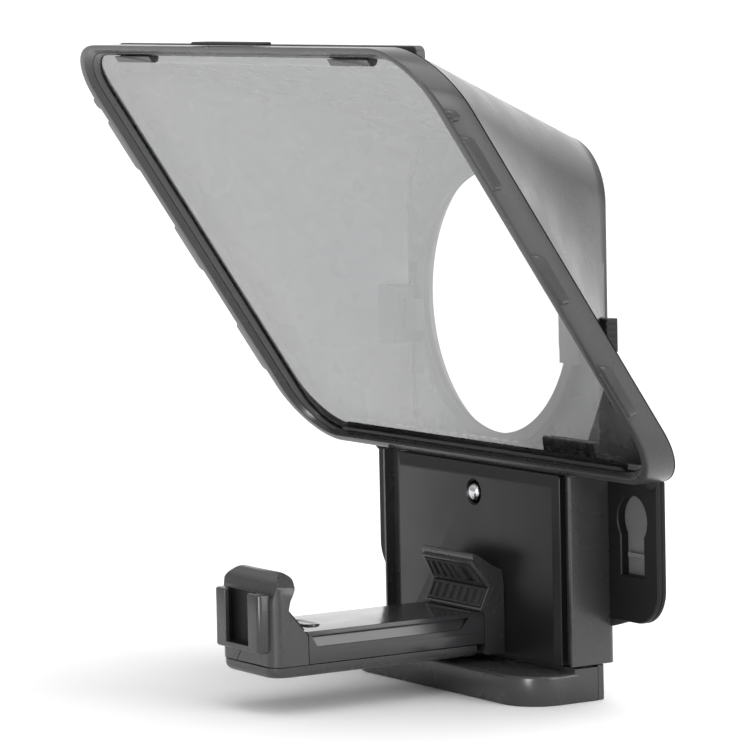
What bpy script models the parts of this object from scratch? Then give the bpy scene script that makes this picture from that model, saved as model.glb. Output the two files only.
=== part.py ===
"""Portable beam-splitter teleprompter with a spring phone clamp.

Metres, +Z up. X runs across the object, the phone clamp reaches towards -Y and the lens
opening faces +Y. The ground is at Z = 0 and the front plate's face is at Y = 0.
"""
import math

import bmesh
import bpy
from mathutils import Vector

# Driving dimensions
GAP = 0.0003                    # clearance between pieces that touch

FRAME_WIDTH = 0.2240            # outside width of the front frame
FRAME_BOTTOM = 0.0763           # height of the frame's lower front edge
FRAME_TOP = 0.2205              # height of the frame's upper front edge
FRAME_FOOT_Y = 0.0018           # Y of the lower front edge
FRAME_TILT = math.radians(56.0) # slope of the glass from the horizontal
FRAME_DEPTH = 0.0105            # depth of the band along Y
FRAME_CORNER = 0.024            # outside corner radius, in the sloping plane
BEVEL_INSETS = (0.0015, 0.0012, 0.0008) # side, bottom and top width of the frame's flat edge
SEAM_INSETS = (0.0065, 0.0037, 0.0032)  # where the outer bevel meets the inner one
LIP_INSETS = (0.0091, 0.0047, 0.0043)   # width of the whole lip
SEAM_DEPTH = 0.0021
LIP_EDGE_DEPTH = 0.0034
LIP_DEPTH = 0.0040              # depth of the lip in front of the glass
FINGER_PADS = ((0.030, 0.051), (0.075, 0.095), (0.1195, 0.141), (0.146, 0.151))
PAD_LIFT = 0.0022               # how far a finger pad stands out at its front edge
PAD_DEPTH = 0.0048
RIM_WALL = 0.0052               # thickness of the band round the glass
GLASS_DEPTH = 0.0024            # glass thickness along Y
GASKET_DEPTH = 0.0024
GASKET_WIDTH = 0.0040
GLASS_INSETS = (0.0055, 0.0034, 0.0030)
STOP_HALF_WIDTH = 0.0860        # strip that the glass stands on
STOP_HEIGHT = 0.0014
TRIM_FRONT = 0.0023
CLIP_SPAN = (0.0575, 0.0815)
CLIP_HEIGHT = 0.0026
TOP_PAD_LOW = (-0.0220, -0.0945)
TOP_PAD_HIGH = (0.0190, -0.0875)
TOP_PAD_RISE = 0.0014

REAR_Y = 0.0155                 # back face of the rear wall
REAR_WALL = 0.0020
REAR_HALF_WIDTH = 0.0600
REAR_TOP = 0.1880
REAR_TOP_CORNER = 0.022
REAR_BOTTOM_CORNER = 0.006
HOOD_WALL = 0.0022
HOOD_FLANGE_HALF = 0.0958       # stiffening rib along the hood's upper edge
HOOD_FLANGE_BACK = 0.0068
HOOD_FLANGE_THICKNESS = 0.0034
HOOD_FLANGE_Z = (0.2142, 0.2209)
SLOT_SPAN = (0.0610, 0.0790)
SLOT_Y = (0.0053, 0.0111)
SLOT_HALF_HEIGHT = 0.0060
HOOD_SIDE_STEPS = 10            # divisions up each twisted side of the hood

LENS_RADIUS = 0.0450            # clear radius of the lens opening
LENS_Z = 0.1306
RING_OUTER = 0.0495
RING_FRONT_Y = 0.0096
RING_BACK_Y = 0.0132

POST_HALF_WIDTH = 0.0578
POST_DEPTH = 0.0179
POST_BOTTOM = 0.0126
POST_TOP = 0.0760
POST_BACK_CORNER = 0.0030
POST_RIM = 0.0013               # thin cheeks each side of the front plate
WEB_REACH = 0.0705              # webs under the wings
WEB_BOTTOM = 0.0250
PLATE_RECESS = 0.0036
PLATE_HALF_WIDTH = 0.0516
PLATE_BEVEL = 0.0022
WING_HALF_SPAN = 0.0850
WING_FRONT_Y = 0.01545
WING_BACK_Y = 0.0182
WING_BOTTOM = 0.0275
WING_CORNER = 0.012
KEYHOLE_X = 0.0711
KEYHOLE_Z = 0.0618
KEYHOLE_RADIUS = 0.0082
KEYHOLE_SLOT_HALF = 0.0064
KEYHOLE_SLOT_BOTTOM = 0.0432
LUG_X = 0.0818                  # dome under the hood at each wing's outer edge
LUG_Y = 0.0157
LUG_RADIUS = 0.0034
LUG_BOTTOM = 0.0721
LINER_X = (0.0600, 0.0822)
LINER_Z = (0.0400, 0.0720)
LINER_THICKNESS = 0.0012

PIN_Z = 0.0660
PIN_RADIUS = 0.0030
BUSH_RADIUS = 0.0045
BUSH_END_Y = 0.0134
SCREW_RADIUS = 0.0026
SCREW_SLOT_HALF = 0.0004
SCREW_SLOT_DEPTH = 0.0005
REAR_SCREWS = ((-0.0500, 0.0830), (0.0500, 0.0830), (-0.0425, 0.1740), (0.0425, 0.1740))

FOOT_HALF_WIDTH = 0.0563
FOOT_FRONT_Y = -0.0178
FOOT_BACK_Y = 0.0112
FOOT_TOP = 0.0102
FOOT_STEP_TOP = 0.0115
FOOT_CORNER = 0.014
BUSH_Y = -0.0095
NECK_HALF_WIDTH = 0.0480
FOOT_SCREW_X = 0.0360
FOOT_SCREW_Y = -0.0030
STRIP_HALF_WIDTH = 0.0560
STRIP_THICKNESS = 0.0023
STRIP_TOP = 0.0122

ARM_HALF_WIDTH = 0.0180
ARM_BACK_Y = -0.0086
ARM_FRONT_Y = -0.0779
ARM_BOTTOM = 0.0166
ARM_TOP = 0.0273
SLIDER_BOTTOM = 0.0125
SLIDER_TOP = 0.0163
SLIDER_FRONT_Y = -0.0915
JAW_TIP_Z = 0.0463
JAW_VALLEY_Z = 0.0353
JAW_BACK_Y = -0.0083
ARM_EDGE = 0.0014               # chamfer along the arm's upper edges
ARM_CAVITY = (-0.0640, -0.0120)
ARM_CAVITY_FLOOR = 0.0182
BUTTON_Y = -0.0690
BUTTON_RADIUS = 0.0030
BUTTON_REACH = 0.0042
BUTTON_BOTTOM = 0.0246
BUTTON_TOP = 0.0279
SLIDER_HALF_WIDTH = 0.0174
SLIDER_HEAD = (-0.0200, -0.0124)
CLAMP_SPRING_Y = (-0.0719, -0.0203)
SHOE_BACK_Y = -0.0903
SHOE_FRONT_Y = -0.0950
SHOE_HALF_WIDTH = 0.0144
SHOE_BOTTOM = 0.0212
SHOE_FLOOR = 0.0232
SHOE_TOP = 0.0408
SHOE_WALL = 0.0012

LATCH_Z = 0.1235
LATCH_HALF_HEIGHT = 0.0055
LATCH_TIP = 0.0434
LATCH_END = 0.0690
LATCH_FRONT_Y = 0.0058
THUMB_SPAN = (0.0685, 0.0722)
CATCH_SPAN = (0.0519, 0.0532)
GUIDE_SPAN = (0.0503, 0.0614)
GUIDE_LEG_END = 0.0560
GUIDE_HALF_HEIGHT = 0.0100
GUIDE_Y = (0.0018, 0.0090)
POCKET_SPAN = (0.0516, 0.0604)


# Building blocks
def clear_scene():
    for item in list(bpy.data.objects):
        bpy.data.objects.remove(item, do_unlink=True)


def make_material(name, colour, roughness, metallic=0.0, alpha=1.0):
    material = bpy.data.materials.new(name)
    material.use_nodes = True
    shader = material.node_tree.nodes["Principled BSDF"]
    shader.inputs["Base Color"].default_value = (*colour, 1.0)
    shader.inputs["Roughness"].default_value = roughness
    shader.inputs["Metallic"].default_value = metallic
    shader.inputs["Alpha"].default_value = alpha
    return material


def add_mesh(name, points, faces, material=None, origin=(0.0, 0.0, 0.0)):
    """Make a closed mesh object with outward faces and its origin at the given point."""
    base = Vector(origin)
    mesh = bpy.data.meshes.new(name)
    work = bmesh.new()
    verts = [work.verts.new(Vector(point) - base) for point in points]
    for face in faces:
        work.faces.new([verts[index] for index in face])
    bmesh.ops.recalc_face_normals(work, faces=work.faces)
    work.to_mesh(mesh)
    work.free()
    thing = bpy.data.objects.new(name, mesh)
    thing.location = base
    bpy.context.collection.objects.link(thing)
    if material is not None:
        mesh.materials.append(material)
    return thing


def add_loft(name, rings, material=None, origin=(0.0, 0.0, 0.0)):
    """Join rings that have the same number of points, and close both ends."""
    count = len(rings[0])
    points = [point for ring in rings for point in ring]
    faces = []
    for level in range(len(rings) - 1):
        for index in range(count):
            after = (index + 1) % count
            low = level * count
            high = low + count
            faces.append((low + index, low + after, high + after, high + index))
    last = (len(rings) - 1) * count
    faces.append(tuple(range(count))[::-1])
    faces.append(tuple(range(last, last + count)))
    return add_mesh(name, points, faces, material, origin)


def add_box(name, low, high, material=None, origin=(0.0, 0.0, 0.0)):
    base = [(low[0], low[1]), (high[0], low[1]), (high[0], high[1]), (low[0], high[1])]
    rings = [[(x, y, z) for x, y in base] for z in (low[2], high[2])]
    return add_loft(name, rings, material, origin)


def add_prism(name, outline, axis, low, high, material=None, origin=(0.0, 0.0, 0.0)):
    """Extrude a flat outline along one axis; the outline holds the other two coordinates."""
    place = {
        "x": lambda u, v, w: (w, u, v),
        "y": lambda u, v, w: (u, w, v),
        "z": lambda u, v, w: (u, v, w),
    }[axis]
    rings = [[place(u, v, w) for u, v in outline] for w in (low, high)]
    return add_loft(name, rings, material, origin)


def add_turned(name, axis, centre, profile, steps, material=None, origin=(0.0, 0.0, 0.0)):
    """Solid or hollow turned piece; a profile of (radius, place along the axis)."""
    closed = profile[0][0] > 0.0
    points = []
    rows = []
    for radius, along in profile:
        row = []
        for step in range(steps if radius > 0.0 else 1):
            angle = 2.0 * math.pi * step / steps
            across = radius * math.cos(angle)
            up = radius * math.sin(angle)
            row.append(len(points))
            if axis == "y":
                points.append((centre[0] + across, along, centre[1] + up))
            else:
                points.append((centre[0] + across, centre[1] + up, along))
        rows.append(row)
    pairs = list(zip(rows, rows[1:]))
    if closed:
        pairs.append((rows[-1], rows[0]))
    faces = []
    for first, second in pairs:
        for step in range(steps):
            after = (step + 1) % steps
            corners = [first[step % len(first)], first[after % len(first)],
                       second[after % len(second)], second[step % len(second)]]
            faces.append(tuple(dict.fromkeys(corners)))
    return add_mesh(name, points, faces, material, origin)


def hide(helper):
    helper.hide_render = True
    helper.display_type = "WIRE"


def boolean(target, helper, operation):
    step = target.modifiers.new(helper.name, "BOOLEAN")
    step.operation = operation
    step.solver = "EXACT"
    step.object = helper
    hide(helper)


def cut(target, *helpers):
    for helper in helpers:
        boolean(target, helper, "DIFFERENCE")


def fuse(target, *helpers):
    for helper in helpers:
        boolean(target, helper, "UNION")


def arc(centre, radius, start, end, steps):
    """Points along an arc, angles in degrees."""
    points = []
    for step in range(steps + 1):
        angle = math.radians(start + (end - start) * step / steps)
        points.append((centre[0] + radius * math.cos(angle), centre[1] + radius * math.sin(angle)))
    return points


def circle(centre, radius, steps):
    return arc(centre, radius, 0.0, 360.0 - 360.0 / steps, steps - 1)


def rounded_outline(half_width, low, high, low_radius, high_radius, steps=6, side_steps=1):
    """Outline, symmetrical about zero, with its own corner radius below and above."""
    start = low + low_radius
    rise = (high - high_radius - start) / side_steps
    side = [start + rise * step for step in range(1, side_steps)]
    points = arc((half_width - low_radius, start), low_radius, -90, 0, steps)
    points += [(half_width, up) for up in side]
    points += arc((half_width - high_radius, high - high_radius), high_radius, 0, 90, steps)
    points += arc((high_radius - half_width, high - high_radius), high_radius, 90, 180, steps)
    points += [(-half_width, up) for up in side[::-1]]
    points += arc((low_radius - half_width, start), low_radius, 180, 270, steps)
    return points


def bevel(target, width, segments=1, angle=40.0):
    step = target.modifiers.new("edge", "BEVEL")
    step.width = width
    step.segments = segments
    step.limit_method = "ANGLE"
    step.angle_limit = math.radians(angle)
    step.use_clamp_overlap = True


# The sloping frame: u runs across, s runs up the slope, d is depth along Y
SLOPE_LENGTH = (FRAME_TOP - FRAME_BOTTOM) / math.sin(FRAME_TILT)
FRAME_HALF = FRAME_WIDTH / 2.0
HOOD_START = FRAME_DEPTH + GAP
GLASS_START = LIP_DEPTH + GAP
GASKET_START = GLASS_START + GLASS_DEPTH + GAP


def slope_point(u, s, d):
    y = FRAME_FOOT_Y + d - s * math.cos(FRAME_TILT)
    return (u, y, FRAME_BOTTOM + s * math.sin(FRAME_TILT))


def slope_ring(outline, d):
    return [slope_point(u, s, d) for u, s in outline]


def slope_prism(name, outline, low, high, material=None):
    return add_loft(name, [slope_ring(outline, low), slope_ring(outline, high)], material)


def frame_outline(side=0.0, low=0.0, high=0.0, side_steps=1):
    """Outline inside the frame's own, moved in by its own amount at the sides, below and above."""
    radius = FRAME_CORNER - side
    return rounded_outline(FRAME_HALF - side, low, SLOPE_LENGTH - high, radius, radius, 6, side_steps)


def slope_rectangle(u_low, u_high, s_low, s_high):
    return [(u_low, s_low), (u_high, s_low), (u_high, s_high), (u_low, s_high)]


def finger_pad(name, side, low, high):
    """Wedge on the frame's side that flares towards the front edge and fades at both ends."""
    root = FRAME_HALF - 0.0010
    rings = []
    for s, share in ((low, 0.15), (low + 0.0008, 0.65), (low + 0.0022, 1.0),
                     (high - 0.0022, 1.0), (high - 0.0008, 0.65), (high, 0.15)):
        edge = FRAME_HALF + PAD_LIFT * share
        profile = [(root, 0.0004), (edge, 0.0004), (edge, 0.0010), (FRAME_HALF, PAD_DEPTH),
                   (root, PAD_DEPTH)]
        rings.append([slope_point(side * u, s, d) for u, d in profile])
    return add_loft(name, rings)


def build_frame(material):
    frame = slope_prism("front_frame", frame_outline(), 0.0, FRAME_DEPTH, material)
    beyond = FRAME_DEPTH + 0.005
    window = add_loft("cut_frame_window", [
        slope_ring(frame_outline(*BEVEL_INSETS), -SEAM_DEPTH),
        slope_ring(frame_outline(*SEAM_INSETS), SEAM_DEPTH),
        slope_ring(frame_outline(*LIP_INSETS), LIP_EDGE_DEPTH),
        slope_ring(frame_outline(*LIP_INSETS), beyond),
    ])
    rebate = slope_prism("cut_frame_rebate", frame_outline(RIM_WALL, 0.0030, 0.0026), LIP_DEPTH, beyond)
    cut(frame, window, rebate)
    for side, label in ((-1, "left"), (1, "right")):
        for index, (low, high) in enumerate(FINGER_PADS):
            fuse(frame, finger_pad(f"add_finger_pad_{label}_{index}", side, low, high))
    return frame


def build_glass(material):
    outline = frame_outline(*GLASS_INSETS)
    return slope_prism("beam_splitter_glass", outline, GLASS_START, GLASS_START + GLASS_DEPTH, material)


def build_gasket(material):
    outer = frame_outline(*GLASS_INSETS)
    inner = frame_outline(*[inset + GASKET_WIDTH for inset in GLASS_INSETS])
    end = GASKET_START + GASKET_DEPTH
    gasket = slope_prism("glass_gasket", outer, GASKET_START, end, material)
    cut(gasket, slope_prism("cut_gasket", inner, GASKET_START - 0.002, end + 0.002))
    return gasket


def build_glass_trim(clip_material, strip_material):
    """Two clips above the glass and the strip that it stands on."""
    top = SLOPE_LENGTH - LIP_INSETS[2] - GAP
    for side, label in ((-1, "left"), (1, "right")):
        edges = sorted((side * CLIP_SPAN[0], side * CLIP_SPAN[1]))
        outline = slope_rectangle(edges[0], edges[1], top - CLIP_HEIGHT, top)
        slope_prism(f"glass_clip_{label}", outline, TRIM_FRONT, LIP_DEPTH, clip_material)
    low = LIP_INSETS[1] + GAP
    outline = slope_rectangle(-STOP_HALF_WIDTH, STOP_HALF_WIDTH, low, low + STOP_HEIGHT)
    slope_prism("glass_stop_strip", outline, TRIM_FRONT, LIP_DEPTH, strip_material)


def build_top_pad(material):
    pad = add_box("top_pad", (*TOP_PAD_LOW, FRAME_TOP + GAP), (*TOP_PAD_HIGH, FRAME_TOP + TOP_PAD_RISE),
                  material)
    bevel(pad, 0.0004)


def rear_outline(inset, side_steps=1):
    return rounded_outline(REAR_HALF_WIDTH - inset, FRAME_BOTTOM + inset, REAR_TOP - inset,
                           REAR_BOTTOM_CORNER, REAR_TOP_CORNER - inset, 6, side_steps)


def rear_ring(inset, y):
    return [(x, y, z) for x, z in rear_outline(inset, HOOD_SIDE_STEPS)]


def build_hood(material):
    hood = add_loft("hood_shell", [
        slope_ring(frame_outline(side_steps=HOOD_SIDE_STEPS), HOOD_START),
        rear_ring(0.0, REAR_Y),
    ], material)
    edge_y = FRAME_FOOT_Y + HOOD_START - SLOPE_LENGTH * math.cos(FRAME_TILT)
    back_y = edge_y + HOOD_FLANGE_BACK
    low = (-HOOD_FLANGE_HALF, back_y - HOOD_FLANGE_THICKNESS, HOOD_FLANGE_Z[0])
    fuse(hood, add_box("add_hood_flange", low, (HOOD_FLANGE_HALF, back_y, HOOD_FLANGE_Z[1])))
    wall_insets = (HOOD_WALL, HOOD_WALL, HOOD_WALL)
    cavity = add_loft("cut_hood_cavity", [
        slope_ring(frame_outline(*wall_insets, side_steps=HOOD_SIDE_STEPS), HOOD_START - 0.0010),
        rear_ring(HOOD_WALL, REAR_Y - REAR_WALL - GAP),
    ])
    back = add_prism("cut_hood_back", rear_outline(HOOD_WALL), "y",
                     REAR_Y - REAR_WALL - 0.0010, REAR_Y + 0.004)
    cut(hood, cavity, back)
    for side, label in ((-1, "left"), (1, "right")):
        edges = sorted((side * SLOT_SPAN[0], side * SLOT_SPAN[1]))
        cut(hood, add_box(f"cut_hood_slot_{label}", (edges[0], SLOT_Y[0], LATCH_Z - SLOT_HALF_HEIGHT),
                          (edges[1], SLOT_Y[1], LATCH_Z + SLOT_HALF_HEIGHT)))
    return hood


def build_rear_wall(material):
    wall = add_prism("rear_wall", rear_outline(HOOD_WALL + GAP), "y", REAR_Y - REAR_WALL, REAR_Y,
                     material)
    hole = add_prism("cut_rear_hole", circle((0.0, LENS_Z), LENS_RADIUS + 0.0034, 72), "y",
                     REAR_Y - 0.010, REAR_Y + 0.005)
    cut(wall, hole)
    return wall


def build_lens_ring(material):
    """Ring with a rounded front lip, a stepped bore and a flat back."""
    profile = [
        (LENS_RADIUS, RING_FRONT_Y), (RING_OUTER - 0.0012, RING_FRONT_Y),
        (RING_OUTER, RING_FRONT_Y + 0.0010), (RING_OUTER, RING_BACK_Y),
        (LENS_RADIUS + 0.0012, RING_BACK_Y), (LENS_RADIUS, RING_BACK_Y - 0.0010),
    ]
    return add_turned("lens_ring", "y", (0.0, LENS_Z), profile, 72, material)


def add_coil(name, axis, centre, start, end, radius, wire, turns, material):
    """Helical spring along one axis, with a square-sided wire."""
    per_turn = 10
    total = turns * per_turn
    corners = [(-wire, -wire), (wire, -wire), (wire, wire), (-wire, wire)]
    rings = []
    for step in range(total + 1):
        share = step / total
        along = start + wire + (end - start - 2.0 * wire) * share
        angle = 2.0 * math.pi * turns * share
        ring = []
        for out, shift in corners:
            across = (radius + out) * math.cos(angle)
            up = (radius + out) * math.sin(angle)
            place = along + shift
            if axis == "x":
                ring.append((place, centre[0] + across, centre[1] + up))
            elif axis == "y":
                ring.append((centre[0] + across, place, centre[1] + up))
            else:
                ring.append((centre[0] + across, centre[1] + up, place))
        rings.append(ring)
    return add_loft(name, rings, material)


def build_latch(side, label, plastic, spring_material):
    """Slider whose tip laps over the ring, its fixed guide, and the spring between them."""
    def box(name, span, y, half_height, *look):
        edges = sorted((side * span[0], side * span[1]))
        return add_box(f"{name}_{label}", (edges[0], y[0], LATCH_Z - half_height),
                       (edges[1], y[1], LATCH_Z + half_height), *look)

    half = LATCH_HALF_HEIGHT
    front = LATCH_FRONT_Y
    origin = (side * 0.0550, front, LATCH_Z)
    slider = box("ring_latch", (LATCH_TIP, LATCH_END), (front, RING_FRONT_Y - GAP), half, plastic, origin)
    thumb = box("add_latch_thumb", THUMB_SPAN, (front, 0.0106), half)
    catch = box("add_latch_catch", CATCH_SPAN, (front - 0.0018, front + 0.0005), 0.0021)
    fuse(slider, thumb, catch)

    guide = box("latch_guide", GUIDE_SPAN, GUIDE_Y, GUIDE_HALF_HEIGHT, plastic)
    edges = sorted((side * GUIDE_SPAN[0], side * GUIDE_LEG_END))
    for index, (low, high) in enumerate(((-GUIDE_HALF_HEIGHT, -0.0062), (0.0062, GUIDE_HALF_HEIGHT))):
        leg = add_box(f"add_guide_leg_{label}_{index}", (edges[0], GUIDE_Y[1] - 0.0005, LATCH_Z + low),
                      (edges[1], REAR_Y - REAR_WALL - GAP, LATCH_Z + high))
        fuse(guide, leg)
    tunnel = box("cut_guide_tunnel", (0.0480, 0.0700), (front - GAP, 0.0130), half + GAP)
    pocket = box("cut_guide_pocket", POCKET_SPAN, (0.0034, front + 0.0002), 0.0024)
    cut(guide, tunnel, pocket)
    ends = sorted((side * 0.0535, side * (POCKET_SPAN[1] - GAP)))
    add_coil(f"latch_spring_{label}", "x", (0.0046, LATCH_Z), ends[0], ends[1], 0.00080, 0.00012, 4,
             spring_material)


def build_screw(name, centre, axis, low, high, material):
    """Pan-head screw with a straight slot: its head looks along +Y or along -Z."""
    screw = add_prism(name, circle(centre, SCREW_RADIUS, 20), axis, low, high, material)
    half, reach = SCREW_SLOT_HALF, SCREW_RADIUS + 0.0008
    if axis == "y":
        corners = ((centre[0] - half, high - SCREW_SLOT_DEPTH, centre[1] - reach),
                   (centre[0] + half, high + 0.001, centre[1] + reach))
    else:
        corners = ((centre[0] - half, centre[1] - reach, low - 0.001),
                   (centre[0] + half, centre[1] + reach, low + SCREW_SLOT_DEPTH))
    cut(screw, add_box("cut_" + name, *corners))
    return screw


def build_rear_screws(material):
    for index, spot in enumerate(REAR_SCREWS):
        build_screw(f"rear_screw_{index + 1}", spot, "y", REAR_Y + GAP, REAR_Y + 0.0016, material)


# Base post, wings and foot
def post_outline():
    """Plan of the post: square in front, rounded behind."""
    half = POST_HALF_WIDTH
    radius = POST_BACK_CORNER
    outline = [(-half, 0.0), (half, 0.0)]
    outline += arc((half - radius, POST_DEPTH - radius), radius, 0, 90, 4)
    outline += arc((radius - half, POST_DEPTH - radius), radius, 90, 180, 4)
    return outline


def build_post(material):
    half = POST_HALF_WIDTH
    post = add_prism("base_post", post_outline(), "z", POST_BOTTOM, POST_TOP, material)
    wing = rounded_outline(WING_HALF_SPAN, WING_BOTTOM, POST_TOP, WING_CORNER, 0.0020)
    fuse(post, add_prism("add_wings", wing, "y", WING_FRONT_Y, WING_BACK_Y))
    dome = [(0.0, LUG_BOTTOM), (LUG_RADIUS * 0.55, LUG_BOTTOM + 0.0004),
            (LUG_RADIUS * 0.9, LUG_BOTTOM + 0.0017), (LUG_RADIUS, POST_TOP), (0.0, POST_TOP)]
    for side, label in ((-1, "left"), (1, "right")):
        web = [(side * (half - 0.002), WING_BOTTOM + 0.0010), (side * WEB_REACH, WING_BOTTOM + 0.0008),
               (side * (half + 0.0006), WEB_BOTTOM), (side * (half - 0.002), WEB_BOTTOM - 0.0004)]
        fuse(post, add_prism(f"add_web_{label}", web, "y", WING_FRONT_Y + 0.0008, POST_DEPTH - 0.0002))
        fuse(post, add_turned(f"add_lug_{label}", "z", (side * LUG_X, LUG_Y), dome, 20))
        hole = arc((side * KEYHOLE_X, KEYHOLE_Z), KEYHOLE_RADIUS, -38, 218, 20)
        hole += [(side * KEYHOLE_X - KEYHOLE_SLOT_HALF, KEYHOLE_SLOT_BOTTOM),
                 (side * KEYHOLE_X + KEYHOLE_SLOT_HALF, KEYHOLE_SLOT_BOTTOM)]
        cut(post, add_prism(f"cut_keyhole_{label}", hole, "y", WING_FRONT_Y - 0.005, WING_BACK_Y + 0.005))
    recess = half - POST_RIM
    cut(post, add_box("cut_plate_recess", (-recess, -0.005, POST_BOTTOM - 0.005),
                      (recess, PLATE_RECESS, POST_TOP + 0.005)))
    bore = circle((0.0, PIN_Z), BUSH_RADIUS + GAP, 28)
    cut(post, add_prism("cut_pin_bore", bore, "y", -0.001, BUSH_END_Y + 0.0004))
    return post


def build_keyhole_plates(material):
    """Liners that close the keyholes from behind, each with a small stop step."""
    low_y = WING_BACK_Y + GAP
    for side, label in ((-1, "left"), (1, "right")):
        edges = sorted((side * LINER_X[0], side * LINER_X[1]))
        plate = add_box(f"keyhole_plate_{label}", (edges[0], low_y, LINER_Z[0]),
                        (edges[1], low_y + LINER_THICKNESS, LINER_Z[1]), material)
        edges = sorted((side * (KEYHOLE_X - 0.0050), side * (KEYHOLE_X + 0.0060)))
        fuse(plate, add_box(f"add_keyhole_step_{label}", (edges[0], low_y - 0.0014, 0.0492),
                            (edges[1], low_y + 0.0002, 0.0506)))


def build_front_plate(material):
    low = FOOT_STEP_TOP + GAP
    high = POST_TOP - 0.0003
    back = PLATE_RECESS - GAP
    half = PLATE_HALF_WIDTH
    plate = add_loft("front_plate", [
        [(-half, back, low), (half, back, low), (half, back, high), (-half, back, high)],
        [(-half, PLATE_BEVEL * 0.5, low), (half, PLATE_BEVEL * 0.5, low),
         (half, PLATE_BEVEL * 0.5, high), (-half, PLATE_BEVEL * 0.5, high)],
        [(-half + PLATE_BEVEL, 0.0, low), (half - PLATE_BEVEL, 0.0, low),
         (half - PLATE_BEVEL, 0.0, high - PLATE_BEVEL * 1.4),
         (-half + PLATE_BEVEL, 0.0, high - PLATE_BEVEL * 1.4)],
    ], material)
    cut(plate, add_prism("cut_plate_bore", circle((0.0, PIN_Z), 0.0040, 28), "y", -0.002, 0.006))
    return plate


def build_lock_pin(steel, dark, spring_material):
    """Domed pin that presses into the post against a spring, guided by a bush."""
    rim = PIN_RADIUS
    dome = [(0.0, -0.0012), (rim * 0.45, -0.0010), (rim * 0.80, -0.0004), (rim, 0.0006)]
    shaft = [(rim, 0.0060), (rim * 0.5, 0.0060), (rim * 0.5, 0.0066), (0.0, 0.0066)]
    add_turned("lock_pin", "y", (0.0, PIN_Z), dome + shaft, 24, steel, (0.0, 0.0, PIN_Z))
    bore = rim + 0.0002
    start_y = PLATE_RECESS + 0.0002
    bush = [(bore, start_y), (BUSH_RADIUS, start_y), (BUSH_RADIUS, BUSH_END_Y), (bore, BUSH_END_Y)]
    add_turned("lock_pin_bush", "y", (0.0, PIN_Z), bush, 24, dark)
    add_coil("lock_pin_spring", "y", (0.0, PIN_Z), 0.0070, BUSH_END_Y + 0.0001, 0.0020, 0.0002, 5,
             spring_material)


def build_foot(material, steel):
    low_y = FOOT_FRONT_Y
    corner = FOOT_CORNER
    half = FOOT_HALF_WIDTH
    outline = arc((corner - half, low_y + corner), corner, 180, 270, 10)
    outline += arc((half - corner, low_y + corner), corner, 270, 360, 10)
    outline += [(half, FOOT_BACK_Y), (-half, FOOT_BACK_Y)]
    foot = add_prism("foot", outline, "z", 0.0, FOOT_TOP, material)
    step = add_box("add_foot_step", (-half, 0.0022, FOOT_TOP - 0.002), (half, FOOT_BACK_Y, FOOT_STEP_TOP))
    neck = add_box("add_foot_neck", (-NECK_HALF_WIDTH, 0.0048, FOOT_TOP - 0.001),
                   (NECK_HALF_WIDTH, FOOT_BACK_Y - 0.001, POST_BOTTOM - GAP))
    fuse(foot, step, neck)
    cut(foot, add_prism("cut_tripod_bore", circle((0.0, BUSH_Y), 0.0053, 28), "z", -0.002, 0.0083))
    for index, x in enumerate((-FOOT_SCREW_X, FOOT_SCREW_X)):
        centre = (x, FOOT_SCREW_Y)
        cut(foot, add_prism(f"cut_foot_screw_{index}", circle(centre, SCREW_RADIUS + 0.0006, 24), "z",
                            -0.002, 0.0022))
        build_screw(f"foot_screw_{index + 1}", centre, "z", 0.0005, 0.0019, steel)
    return foot


def build_foot_strip(material):
    low = FOOT_BACK_Y + GAP
    return add_box("foot_rear_strip", (-STRIP_HALF_WIDTH, low, 0.0002),
                   (STRIP_HALF_WIDTH, low + STRIP_THICKNESS, STRIP_TOP), material)


def build_tripod_bush(material):
    profile = [(0.0032, 0.0003), (0.0050, 0.0003), (0.0050, 0.0080), (0.0032, 0.0080)]
    return add_turned("tripod_bush", "z", (0.0, BUSH_Y), profile, 28, material)


# Phone clamp
def jaw_front_outline(shift=0.0):
    """Front view of the rear jaw: a block that narrows to its top edge."""
    half = ARM_HALF_WIDTH - shift
    top = JAW_TIP_Z + 0.0012 - shift
    return [(-half, SLIDER_BOTTOM - 0.001), (half, SLIDER_BOTTOM - 0.001), (half, JAW_VALLEY_Z + 0.0010),
            (0.0144 - shift, top), (-0.0144 + shift, top), (-half, JAW_VALLEY_Z + 0.0010)]


def build_rear_jaw(material):
    side_view = [
        (-GAP, SLIDER_BOTTOM + 0.0002), (JAW_BACK_Y, SLIDER_BOTTOM + 0.0002), (JAW_BACK_Y, 0.0272),
        (-0.0046, JAW_VALLEY_Z), (-0.0112, 0.0452), (-0.0113, JAW_TIP_Z), (-0.0104, JAW_TIP_Z + 0.0010),
        (-0.0036, 0.0425), (-GAP, 0.0410),
    ]
    jaw = add_prism("rear_jaw", side_view, "x", -0.0220, 0.0220, material)
    keep = add_prism("keep_jaw_front", jaw_front_outline(), "y", -0.030, 0.010)
    boolean(jaw, keep, "INTERSECT")
    return jaw


def ribbed_outline(half, base, rib, count):
    """Comb outline: a flat back and ribs along the front."""
    pitch = 2.0 * half / count
    points = [(-half, 0.0), (half, 0.0)]
    for index in range(count):
        right = half - index * pitch
        points += [(right, base), (right - pitch * 0.30, base), (right - pitch * 0.42, base + rib),
                   (right - pitch * 0.88, base + rib)]
    points += [(-half, base)]
    return points


def build_jaw_pad(name, start, end, normal, half_start, half_end, material):
    """Ribbed rubber pad lying along a sloping face, between two (y, z) points."""
    rings = []
    for place, half in ((start, half_start), (end, half_end)):
        ring = []
        for x, out in ribbed_outline(half, 0.0009, 0.0006, 7):
            ring.append((x, place[0] + normal[0] * out, place[1] + normal[1] * out))
        rings.append(ring)
    return add_loft(name, rings, material)


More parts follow.
